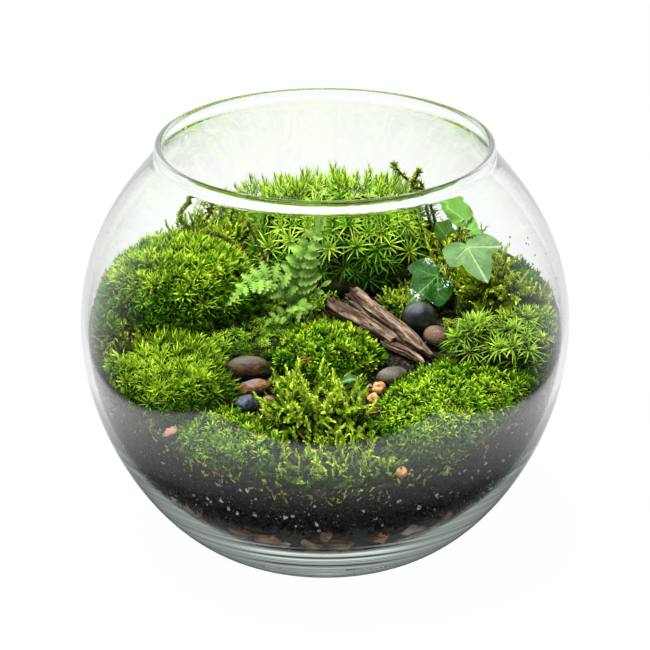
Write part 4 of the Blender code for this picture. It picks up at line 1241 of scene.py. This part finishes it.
def makeTallShoots():
    node, count, reach, sunk, swing, spread, sizes = tallShoots.values()
    low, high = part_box(node)
    bm = cadCopy(node)
    dome = BVHTree.FromBMesh(bm)
    bm.free()
    x = scatterDice.uniform(low.x - reach, high.x + reach, count)
    places = np.stack([x, scatterDice.uniform(0.5 * (low.y + high.y), high.y - 0.002, count), np.zeros(count)], axis=1)
    for place in places:
        hit = dome.ray_cast(Vector((place[0], place[1], 0.3)), -upward)[0]
        beyond = max(low.x - place[0], place[0] - high.x, 0.0)
        place[2] = (hit.z if hit else high.z - 0.011 - 0.5 * beyond) - sunk
    places[:, 2] = np.maximum(places[:, 2], soilUnder(places))
    axes = scatterDice.normal(size=places.shape) * swing + (0, -0.05, 1)
    axes[:, 0] += spread * (places[:, 0] - 0.5 * (low.x + high.x)) / (high.x - low.x)
    sizes = scatterDice.uniform(*sizes, count)
    part = scatter(mossKinds["spray"], places, axes, sizes, np.clip(scatterDice.normal(1.0, 0.12, count), 0.1, 1))
    addScattered("haircap_shoots", part, [mossMaterials["haircapMoss"]], 0.0006)
    print("tall shoots", int(sum(part["sizes"] - 2)), "triangles")


mossMaterials = {name: newMaterial(name, mossSurface, *shades) for name, shades in mossShades.items()}
shadeBedMaterial = newMaterial("mossBed", shadeBedSurface)
for number, node in enumerate(mossBeds):
    makeMossBed(shadeBedMaterial, number, node)
makeGroundMoss()
makeTallShoots()
print("moss ready")


# x, y, half length, half width, half height, turn, finish, lumpiness, number of flats
pebbles = {
    "pebble_brown_oval": (-0.0385, -0.04, 0.0108, 0.0064, 0.0054, -14, "brownStone", 0.05, 0),
    "pebble_red_wet": (-0.035, -0.0525, 0.0086, 0.0046, 0.0038, 0, "redStone", 0.1, 5),
    "pebble_blue_grey": (-0.0385, -0.065, 0.0056, 0.0046, 0.0042, 20, "blueStone", 0.18, 7),
    "pebble_dark_small": (-0.028, -0.0605, 0.0034, 0.0028, 0.0024, 0, "redStone", 0.15, 3),
    "pebble_grey_oval": (0.0335, -0.0445, 0.0078, 0.0046, 0.0042, 28, "greyStone", 0.04, 0),
    "pebble_orange": (0.0265, -0.052, 0.0038, 0.0032, 0.003, 0, "orangeStone", 0.22, 3),
    "pebble_orange_small": (0.024, -0.0585, 0.003, 0.0026, 0.0024, 40, "orangeStone", 0.22, 3),
    "pebble_black_flat": (0.0156, -0.0565, 0.005, 0.0036, 0.0022, -20, "blackStone", 0.1, 6),
    "pebble_black_round": (0.049, -0.0031, 0.0092, 0.0086, 0.008, 10, "blackStone", 0.04, 0),
    "pebble_brown_round": (0.0568, -0.0168, 0.007, 0.0056, 0.005, -10, "umberStone", 0.05, 0),
    "pebble_front": (0.0363, -0.1064, 0.0028, 0.0026, 0.0032, 0, "orangeStone", 0.16, 4),
    "pebble_tan_left": (-0.0735, -0.0868, 0.0042, 0.0028, 0.0026, 30, "tanStone", 0.14, 3),
}
# a chipped corner and a hole: where, radius, depth, sharpness, evenness, unevenness
pebbleDents = {
    "pebble_brown_oval": ((0.62, -0.62, 0.3), 0.34, 0.22, 0.7, 0.8, 0.4),
    "pebble_orange": ((0.1, -0.55, 0.75), 0.42, 0.5, 0.8, 1.0, 0.0),
}
stoneSize = 0.985  # of the CAD stone, so that its bumps stay within


def makePebbles():
    for name, (x, y, length, width, height, turn, finish, lumps, flats) in pebbles.items():
        chance = random.Random(name)
        bm = bmesh.new()
        bmesh.ops.create_icosphere(bm, subdivisions=5, radius=1.0)
        cuts = [
            (Vector([chance.gauss(0, 1) for _ in range(3)]).normalized(), chance.uniform(0.72, 0.9))
            for _ in range(flats)
        ]
        seat = Vector((x, y, 0)) * 900
        for vert in bm.verts:
            point = vert.co.copy()
            vert.co *= 1.0 + lumps * noise.noise(point * 1.3 + seat) + lumps * 0.35 * noise.noise(point * 4 + seat)
            for normal, depth in cuts:
                over = vert.co.dot(normal) - depth
                if over > 0:
                    vert.co -= normal * over * 0.9
            vert.co += point * 0.012 * noise.noise(point * 14 + seat)
        if name in pebbleDents:
            spot, radius, depth, power, even, rough = pebbleDents[name]
            for vert in bm.verts:
                near = max(0, 1 - (vert.co - Vector(spot)).length / radius)
                vert.co *= 1 - depth * near**power * (even + rough * noise.noise(vert.co * 9))
        bmesh.ops.scale(bm, vec=(length * stoneSize, width * stoneSize, height * stoneSize), verts=bm.verts)
        up = soilNormal(x, y)
        facing = up.to_track_quat("Z", "Y").to_matrix() @ Matrix.Rotation(math.radians(turn), 3, "Z")
        bmesh.ops.rotate(bm, cent=(0, 0, 0), matrix=facing, verts=bm.verts)
        lowest = min(vert.co.dot(up) for vert in bm.verts)
        bmesh.ops.translate(bm, vec=aboveSoil(x, y, 0.0) - up * lowest, verts=bm.verts)
        addPiece(name + "_stone", bm, [stoneMaterial(finish)], [name])


makePebbles()


woodLook = {
    "along": ((0.0142, 0.019, 0.0095), (0.0523, -0.0334, 0.0052)),
    "sides": 44,
    "steps": 110,
    "ridges": 0.0017,
    "splinters": 0.0022,
    "pits": 0.0024,
    "bend": 0.0011,
    "brokenEnd": 0.07,  # share of a beam's length that is splintered
    "square": 2.6,  # 2 is round, more is squarer
}
# start and end as x, y and height above the soil, then widths and thicknesses along it
woodBeams = [
    ((0.0142, 0.019, 0.01), (0.053, -0.034, 0.0046),
     (0.0086, 0.0102, 0.0098, 0.0104, 0.008, 0.0028), (0.008, 0.0092, 0.0088, 0.0084, 0.0064, 0.0026)),
    ((0.003, 0.015, 0.0066), (0.035, -0.019, 0.0048),
     (0.0072, 0.009, 0.0088, 0.0084, 0.0074, 0.006), (0.0074, 0.0084, 0.0082, 0.0078, 0.007, 0.005)),
    ((0.031, -0.016, 0.003), (0.05, -0.0355, 0.0024),
     (0.005, 0.0058, 0.0056, 0.005, 0.004, 0.002), (0.0036, 0.0042, 0.004, 0.0036, 0.003, 0.0016)),
]


def woodSurface(tree):
    begin, finish = (aboveSoil(*end) for end in woodLook["along"])
    angles = (finish - begin).normalized().to_track_quat("X", "Z").to_euler()
    place = objectPlace(tree)
    turned = newNode(tree, "Mapping", {"Vector": place, "Rotation": angles}, vector_type="TEXTURE").outputs[0]
    stretched = newNode(tree, "Mapping", {"Vector": turned, "Scale": (0.09, 1.0, 1.0)}).outputs[0]
    base = mixColor(tree, mottle(tree, stretched, 330.0, 0.42, 0.6), (0.034, 0.019, 0.011), (0.32, 0.222, 0.155))
    faded = mixColor(tree, 0.45, base, (0.16, 0.105, 0.07))
    base = mixColor(tree, mottle(tree, place, 75.0, 0.42, 0.62), base, faded)
    dark = mixColor(tree, 0.7, base, (0.03, 0.018, 0.013))
    base = mixColor(tree, mottle(tree, stretched, 800.0, 0.42, 0.58), dark, base)
    # painted shade: grooves, pits and hollows darken to near black
    base = mixColor(tree, attribute(tree, "along"), (0.012, 0.008, 0.006), base)
    normal = bumpOf(tree, mottle(tree, stretched, 800.0, 0.42, 0.58, "Height"), 1.0, 0.0007)
    values = {"Base Color": base, "Normal": normal, "Roughness": 0.72, "Specular IOR Level": 0.3}
    return principled(tree, values)


def noiseAt(x, y, z):
    return noise.noise(Vector((x, y, z)))


def addBeam(bm, layer, number, start, end, widths, thicks):
    look, broken, square = woodLook, woodLook["brokenEnd"], woodLook["square"]
    begin, finish = aboveSoil(*start), aboveSoil(*end)
    along = (finish - begin).normalized()
    side = along.cross(upward).normalized()
    up = side.cross(along)
    run = (finish - begin).length
    path = [begin.lerp(finish, k / look["steps"]) for k in range(look["steps"] + 1)]
    spread = np.linspace(0, 1, len(widths))
    for vert in addTube(bm, path, [1.0] * len(path), look["sides"]):
        local = Vector(((vert.co - begin).dot(along), (vert.co - begin).dot(side), (vert.co - begin).dot(up)))
        share = local.x / run
        angle = math.atan2(local.z, local.y)
        wide = 0.5 * float(np.interp(share, spread, widths)) * (1 + 0.1 * noiseAt(share * 5, number, 0))
        thick = 0.5 * float(np.interp(share, spread, thicks)) * (1 + 0.1 * noiseAt(share * 5, number, 9))
        cosine, sine = math.cos(angle), math.sin(angle)
        boxy = (abs(cosine) ** square + abs(sine) ** square) ** (-1 / square)
        y, z = wide * cosine * boxy, thick * sine * boxy
        wave = noiseAt(local.x * 30 + number * 7, y * 380, z * 380)
        fine = noiseAt(local.x * 110, y * 1250, z * 1250)
        groove = max(0.0, 0.5 - abs(noiseAt(local.x * 14 + 5 + number, y * 230, z * 230)) * 5.5)
        pits = max(0.0, noiseAt(local.x * 380, y * 520, z * 520 + 7) - 0.36)
        move = look["ridges"] * (0.6 * wave + 0.24 * fine - 1.5 * groove) - look["pits"] * pits - 0.0001
        outward = Vector((0, y, z)).normalized()
        ragged = 0.0
        for close, way in ((share, -1), (1 - share, 1)):
            if close < broken:
                splinter = noiseAt(3 + way, y * 650, z * 650) - 0.1
                ragged += way * look["splinters"] * (1 - close / broken) * splinter
        bend = look["bend"] * math.sin(math.pi * share * 1.6 + number)
        place = Vector((local.x + ragged, y + outward.y * move + bend, z + outward.z * move))
        inner = math.hypot(local.y, local.z)
        if inner < 0.9:
            place.y, place.z = place.y * inner, place.z * inner
        vert.co = begin + along * place.x + side * place.y + up * place.z
        # the layer falls towards 0 in the grooves, pits and hollows, for painted shade there
        vert[layer] = max(0.0, min(1.0, 1.0 - 2.0 * groove - 3.0 * pits - 0.9 * max(0.0, -wave - 0.05)))


def makeDriftwood():
    bm, layer = newShape("along")
    for number, beam in enumerate(woodBeams):
        addBeam(bm, layer, number, *beam)
    bmesh.ops.recalc_face_normals(bm, faces=bm.faces)
    addPiece("driftwood_body", bm, [newMaterial("driftwood", woodSurface)], ["driftwood"])


makeDriftwood()
print("stones and driftwood ready")


fernLook = {
    "crown": (-0.0143, 0.004),
    "crownRadius": 0.0028,
    "stalk": 0.00045,
    "bladeWidth": 0.56,  # of a pinna's length
    "teeth": 5,
    "roll": 0.55,  # how far each leaflet is turned up to the light
    "bareStalk": 0.18,  # share of a frond below its first pinnae
    "sweep": 0.38,  # lean of the pinnae towards the tip
}
# base angle on the crown, two handles and the tip, half width, pinnae on each side, paleness, facing, notches
fronds = {
    "fern_frond_tall": (75, (-0.0162, 0.006, 0.132), (-0.015, 0.008, 0.148), (0.001, 0.01, 0.167),
                        0.0128, 8, 0.86, (0.1, -0.92, 0.35), 0.3),
    "fern_frond_left": (165, (-0.02, 0.002, 0.142), (-0.034, -0.004, 0.148), (-0.05, -0.011, 0.129),
                        0.0118, 7, 0.86, (-0.25, -0.7, 0.66), 0.72),
    "fern_frond_low": (290, (-0.0135, -0.001, 0.123), (-0.013, -0.004, 0.129), (-0.0134, -0.008, 0.1225),
                       0.0078, 4, 0.72, (0.1, -0.8, 0.6), 0.45),
    "fern_frond_right": (15, (-0.009, 0.006, 0.123), (-0.004, 0.007, 0.131), (0.001, 0.008, 0.133),
                         0.006, 2, 0.6, (0.2, -0.8, 0.55), 0.25),
    "fern_frond_young": (225, (-0.019, -0.002, 0.12), (-0.024, -0.006, 0.124), (-0.03, -0.011, 0.119),
                         0.0065, 3, 0.45, (-0.2, -0.75, 0.65), 0.5),
}


def addPinna(bm, layer, toneLayer, base, outward, facing, length, width, tone, teeth, notch):
    side = outward.cross(facing).normalized()
    up = side.cross(outward).normalized()
    grid = bmesh.ops.create_grid(bm, x_segments=6, y_segments=teeth * 4, size=0.5)["verts"]
    bend = dice.uniform(0.0, 0.22)
    for vert in grid:
        t, s = vert.co.y + 0.5, vert.co.x * 2
        body = math.sin(math.pi * min(1.0, 0.1 + 0.9 * t) ** 0.85) ** 0.62 if t < 0.999 else 0.0
        cut = abs(math.sin(math.pi * teeth * t)) ** 0.7
        half = 0.5 * width * body * (1 - notch * (1 - cut) * max(0.0, abs(s) - 0.3) / 0.7)
        lift = 0.16 * half * abs(s) - length * bend * t * t + 0.04 * width * math.sin(5 * t + s * 3)
        vert.co = base + outward * (length * t) + side * (half * s) + up * lift
        vert[layer] = max(0.0, 0.8 - abs(s) * 4) * (1 - 0.6 * t)
        # painted shade and light: each pinna is darker at its base by the stalk and lighter to its tip and edges
        vert[toneLayer] = min(1.0, tone * (0.45 + 0.75 * t + 0.25 * abs(s)))


def makeFrond(name, angle, handle, tipHandle, tip, half, count, pale, facing, notch):
    (x, y), bare, sweep = fernLook["crown"], fernLook["bareStalk"], fernLook["sweep"]
    around = fernLook["crownRadius"] + 0.0004
    start = aboveSoil(x + around * math.cos(math.radians(angle)), y + around * math.sin(math.radians(angle)), 0.0015)
    path = interpolate_bezier(start, Vector(handle), Vector(tipHandle), Vector(tip), 60)
    last = len(path) - 1
    bm, layer, toneLayer = newShape("along", "tone")
    stem = path[::5] + [path[-1]]
    radii = [fernLook["stalk"] * (1 - 0.75 * k / (len(stem) - 1)) for k in range(len(stem))]
    addTube(bm, stem, radii, 6, layer, (0.9, 0.9))
    facing = Vector(facing).normalized()
    for k in range(count):
        share = bare + 0.7 * (k + 0.3) / count
        spot = share * last
        at = int(spot)
        base = path[at].lerp(path[min(last, at + 1)], spot - at)
        onward = (path[min(last, at + 2)] - path[max(0, at - 2)]).normalized()
        side = onward.cross(facing).normalized()
        blade = (share - bare) / 0.82
        length = half * min(1.0, 0.62 + 1.6 * blade) * (1.0 - blade) ** 0.62 * 1.12
        for way in (-1, 1):
            outward = side * way * math.cos(sweep) + onward * math.sin(sweep) + facing * dice.uniform(-0.05, 0.2)
            lit = facing + Vector((0, 0, fernLook["roll"])) + onward * dice.uniform(-0.2, 0.2)
            long, wide = length * dice.uniform(0.9, 1.08), length * fernLook["bladeWidth"] + 0.0012
            tone = pale * dice.uniform(0.75, 1.1) * (0.6 + 0.5 * blade)
            directions = (base + onward * way * 0.0004, outward.normalized(), lit.normalized())
            addPinna(bm, layer, toneLayer, *directions, long, wide, tone, fernLook["teeth"], notch)
    end = (path[-1] - path[-6]).normalized()
    addPinna(bm, layer, toneLayer, path[-10], end, facing, half * 0.85, half * 0.42, pale * 1.1, 4, notch * 1.3)
    bmesh.ops.remove_doubles(bm, verts=bm.verts, dist=1e-6)
    addPiece(name + "_leaf", bm, [leafMaterial("fernGreen")], [name])


def makeFern():
    bm = cadCopy("fern_crown")
    bmesh.ops.subdivide_edges(bm, edges=bm.edges, cuts=3, use_grid_fill=True, smooth=0.8)
    for vert in bm.verts:
        vert.co += vert.co.normalized() * 0.0004 * noise.noise(vert.co * 900)
    # the crown knot takes the same dark painted-shade sheet
    addPiece("fern_crown_knot", bm, [shadeBedMaterial], ["fern_crown"])
    for name, values in fronds.items():
        makeFrond(name, *values)


makeFern()


ivyLook = {
    "base": (0.062, 0.035),
    "stemHandles": ((0.064, 0.0345, 0.132), (0.069, 0.034, 0.142)),
    "stemTip": (0.0716, 0.035, 0.153),
    "stemRadius": 0.0008,
    "stemPoints": 14,
    "rings": 22,
    "turns": 120,
}
# share up the stem, blade base, tip, facing, then the outline as angle and reach in midrib lengths, folds, paleness
ivyLeaves = {
    "ivy_leaf_large": (0.62, (0.0735, 0.0145, 0.1502), (0.0845, 0.0035, 0.136), (0.0, -0.68, 0.52), (
        (-3, 1.01), (12, 0.84), (30, 0.66), (43, 0.62), (60, 0.86), (78, 0.74), (99, 0.54), (115, 0.24), (180, 0.05),
        (-150, 0.2), (-128, 0.46), (-114, 0.62), (-93, 0.62), (-74, 0.66), (-60, 0.55), (-47, 0.45), (-24, 0.7),
        (-12, 0.86)), 0.1, 0.75),
    "ivy_leaf_low": (0.4, (0.0583, 0.016, 0.1335), (0.044, 0.005, 0.1245), (0.06, -0.68, 0.73), (
        (0, 1.03), (-15, 0.84), (-42, 0.58), (-62, 0.8), (-85, 0.65), (-109, 0.56), (-130, 0.34), (-165, 0.1),
        (170, 0.08), (130, 0.22), (101, 0.5), (69, 0.68), (49, 0.83), (36, 0.76), (20, 0.66), (10, 0.87)), 0.16, 0.0),
    "ivy_leaf_top": (1.0, (0.0735, 0.036, 0.156), (0.059, 0.039, 0.165), (-0.1, -0.8, 0.6), (
        (0, 1.04), (-17, 0.78), (-40, 0.56), (-59, 0.52), (-92, 0.42), (-125, 0.26), (180, 0.08), (110, 0.2),
        (50, 0.38), (35, 0.43), (16, 0.64)), 0.2, 0.9),
    "ivy_leaf_side": (0.8, (0.0632, 0.027, 0.1506), (0.058, 0.026, 0.1577), (-0.2, -0.8, 0.5), (
        (0, 1.0), (-25, 0.85), (-51, 0.99), (-85, 0.56), (-130, 0.25), (180, 0.06), (128, 0.22), (80, 0.5),
        (40, 0.62)), 0.2, 0.55),
    "ivy_leaf_young": (0.92, (0.0765, 0.034, 0.151), (0.083, 0.033, 0.15), (0.2, -0.8, 0.5), (
        (0, 1.0), (-30, 0.45), (-80, 0.35), (-140, 0.2), (180, 0.1), (123, 0.42), (111, 0.9), (86, 1.2),
        (62, 0.85), (30, 0.7)), 0.25, 1.0),
}
ivyFinishes = {"ivy_leaf_large": "ivyPale", "ivy_leaf_low": "ivyDark"}  # the others are ivyYoung


def leafVein(angle, r, lobes):
    vein = 0.0
    for degrees, length in lobes:
        gap = abs((angle - math.radians(degrees) + math.pi) % fullTurn - math.pi) * r
        if r < length * 0.97:
            vein = max(vein, max(0.0, 1 - gap / (0.02 * (1.15 - r / length))))
            branch = abs((r - 1.25 * gap) / 0.17 % 1 - 0.5) * 2
            vein = max(vein, max(0.0, 1 - gap / (0.34 * length)) * 0.55 * max(0.0, (branch - 0.84) / 0.16))
    return vein


def makeIvyLeaf(stem, name, share, bladeBase, tip, facing, outline, fold, pale):
    bladeBase, tip, facing = Vector(bladeBase), Vector(tip), Vector(facing)
    along = tip - bladeBase
    size = along.length
    along.normalize()
    normal = (facing - along * facing.dot(along)).normalized()
    side = normal.cross(along)
    angles, reaches = np.radians([row[0] for row in outline]), np.array([row[1] for row in outline])
    order = np.argsort(angles)
    fineAngles = np.linspace(-math.pi, math.pi, 721)
    fineReach = np.interp(fineAngles, angles[order], reaches[order], period=fullTurn)
    following = outline[1:] + outline[:1]
    lobes = [row for k, row in enumerate(outline) if row[1] >= outline[k - 1][1] and row[1] > following[k][1]]
    bm = spunOutline([(0.0001 + r, 0) for r in np.linspace(0, 1, ivyLook["rings"])], ivyLook["turns"], 0.0003)
    layer, toneLayer = bm.verts.layers.float.new("along"), bm.verts.layers.float.new("tone")
    for vert in bm.verts:
        angle, out = math.atan2(vert.co.y, vert.co.x), min(1.0, math.hypot(vert.co.x, vert.co.y))
        r = out * float(np.interp(angle, fineAngles, fineReach))
        vein = leafVein(angle, r, lobes)
        u, v = r * math.cos(angle), r * math.sin(angle)
        lift = -fold * abs(v) ** 1.5 * 0.6 + 0.02 * math.sin(7 * angle) * r - 0.01 * vein - 0.12 * fold * u * u
        lift += 0.012 * noise.noise(Vector((u * 4, v * 4, pale * 3)))
        vert.co = bladeBase + along * (size * u) + side * (size * v) + normal * (size * lift)
        vert[layer] = vein * 0.8
        vert[toneLayer] = pale * 0.8 * (1 - 0.35 * out)
    bmesh.ops.recalc_face_normals(bm, faces=bm.faces)
    last = len(stem) - 1
    leavesStem = stem[min(last, round(share * last))]
    middle = leavesStem.lerp(bladeBase, 0.5) + Vector((0, 0, 0.0015))
    addTube(bm, interpolate_bezier(leavesStem, middle, middle, bladeBase, 8), [0.00048] * 8, 6, layer, (0.5, 0.8))
    addPiece(name + "_blade", bm, [leafMaterial(ivyFinishes.get(name, "ivyYoung"))], [name])


def makeIvy():
    count, base = ivyLook["stemPoints"], aboveSoil(*ivyLook["base"], 0.0008)
    handles = [Vector(handle) for handle in ivyLook["stemHandles"]]
    stem = interpolate_bezier(base, *handles, Vector(ivyLook["stemTip"]), count)
    radii = [
        ivyLook["stemRadius"] * (1.25 if k % 4 == 2 else 1.0) * (1 - 0.35 * k / (count - 1)) for k in range(count)
    ]
    bm = bmesh.new()
    addTube(bm, stem, radii, 8)
    addPiece("ivy_stem_wood", bm, [stoneMaterial("ivyBark")], ["ivy_stem"])
    for name, values in ivyLeaves.items():
        makeIvyLeaf(stem, name, *values)


makeIvy()
print("fern and ivy ready")


# knots as x, y and height above the soil, radius at the foot and at the end, how mossy
twigRoutes = {
    "twig_looped": ([
        (-0.046, 0.058, 0.001), (-0.048, 0.059, 0.012), (-0.058, 0.062, 0.017), (-0.072, 0.066, 0.016),
        (-0.079, 0.067, 0.02), (-0.078, 0.068, 0.026), (-0.07, 0.068, 0.031), (-0.062, 0.067, 0.025),
    ], 0.0012, 0.0008, 3.4),
    "twig_mossy": ([(-0.026, 0.034, 0.001), (-0.032, 0.038, 0.019), (-0.042, 0.043, 0.035)], 0.0011, 0.0006, 1.0),
    "stalk_back_left": ([
        (0.06, 0.088, 0.001), (0.053, 0.088, 0.034), (0.0455, 0.086, 0.039), (0.0365, 0.0835, 0.0505),
    ], 0.0009, 0.0006, 1.3),
    "stalk_back_right": ([
        (0.064, 0.08, 0.001), (0.056, 0.082, 0.032), (0.0475, 0.083, 0.037), (0.0512, 0.08, 0.0475),
    ], 0.0008, 0.0006, 1.8),
}
fallenLeaf = {
    "start": (0.0062, -0.05, 0.004),  # x, y and height above the soil
    "end": (0.0172, -0.048, 0.005),
    "across": (0.0, 0.9, 0.4),
    "halfWidth": 0.0025,
    "arch": 0.0016,
    "cup": 0.0007,
}
scrapFinishes = ("redScrap", "tanScrap", "barkScrap")
# small stones and scraps lying on the soil: x, y, size, place in the list of finishes
debris = [
    (-0.083, -0.082, 0.005, 0), (-0.0905, -0.072, 0.004, 1), (-0.079, -0.089, 0.0026, 0),
    (0.041, -0.105, 0.003, 1), (0.0285, -0.1085, 0.0022, 0), (-0.033, -0.059, 0.003, 2),
    (-0.026, -0.056, 0.0024, 2), (-0.024, -0.064, 0.0028, 1), (0.021, -0.054, 0.0026, 0),
    (0.019, -0.061, 0.003, 2), (0.012, -0.052, 0.0026, 2), (0.0225, -0.0475, 0.0022, 1),
    (0.042, -0.048, 0.0026, 2), (0.064, -0.008, 0.0028, 1), (0.06, -0.024, 0.0024, 2),
]


def makeDebris():
    shapes = [chipShape(seed + 400, 0.7) for seed in range(5)]
    parts = []
    for kind in range(len(scrapFinishes)):
        rows = [row[:3] for row in debris if row[3] == kind]
        places = np.array([list(aboveSoil(x, y, 0.35 * size)) for x, y, size in rows])
        axes = scatterDice.normal(size=places.shape) * 0.3 + (0, 0, 1)
        parts.append(scatter(shapes, places, axes, np.array([row[2] for row in rows]), np.zeros(len(rows)), kind))
    finishes = [stoneMaterial(name) for name in scrapFinishes]
    addScattered("scraps", joinParts(parts), finishes, 0.0005, smooth=False)


def makeTwigs():
    scales = [tuftShape(seed + 300, 5, 0.0022, 0.0007, 60, 25, 20, 0.0004, rows=2) for seed in range(3)]
    for name, (route, radius, endRadius, mossy) in twigRoutes.items():
        path = smoothPath([aboveSoil(*knot) for knot in route], 6)
        count = len(path)
        radii = [
            (radius + (endRadius - radius) * k / (count - 1)) * (1 + 0.18 * noise.noise(point * 400))
            for k, point in enumerate(path)
        ]
        bm, layer = newShape("along")
        addTube(bm, path, radii, 7, layer, (0.2, 0.3))
        spots = []
        for _ in range(round(46 * mossy * count / 20)):
            spot = dice.uniform(0, count - 1.001)
            spots.append(list(path[int(spot)].lerp(path[int(spot) + 1], spot % 1)))
        spots = np.array(spots)
        tufted = (spots[:, 2] > path[-1].z - 0.009) * name.startswith("stalk")  # the stalks end in a thicker tuft
        sizes = scatterDice.uniform(0.6, 1.2, len(spots)) * (1 + 0.5 * tufted)
        axes = scatterDice.normal(size=spots.shape) + (0, 0, 0.6)
        shoots = scatter(scales, spots, axes, sizes, scatterDice.uniform(0.2, 0.8, len(spots)), 1)
        materials = [stoneMaterial("twigBark"), mossMaterials["featherMoss"]]
        addScattered(name + "_growth", joinParts([readShape(bm), shoots]), materials, 0.0004, 0.0, [name])


def makeFallenLeaf():
    look = fallenLeaf
    start, end, across = aboveSoil(*look["start"]), aboveSoil(*look["end"]), Vector(look["across"]).normalized()
    bm, layer = newShape("along")
    for vert in bmesh.ops.create_grid(bm, x_segments=6, y_segments=18, size=0.5)["verts"]:
        t, s = vert.co.y + 0.5, vert.co.x * 2
        half = look["halfWidth"] * math.sin(math.pi * min(1, t * 0.92 + 0.04)) ** 0.8
        lift = look["arch"] * math.sin(math.pi * t) - look["cup"] * (1 - s * s)
        vert.co = start.lerp(end, t) + across * (half * s) + Vector((0, 0, lift))
        vert[layer] = max(0, 1 - abs(s) * 3)
    addPiece("fallen_leaf_blade", bm, [leafMaterial("fallenLeaf")], ["fallen_leaf"])


makeTwigs()
makeFallenLeaf()
makeDebris()
print("twigs ready")
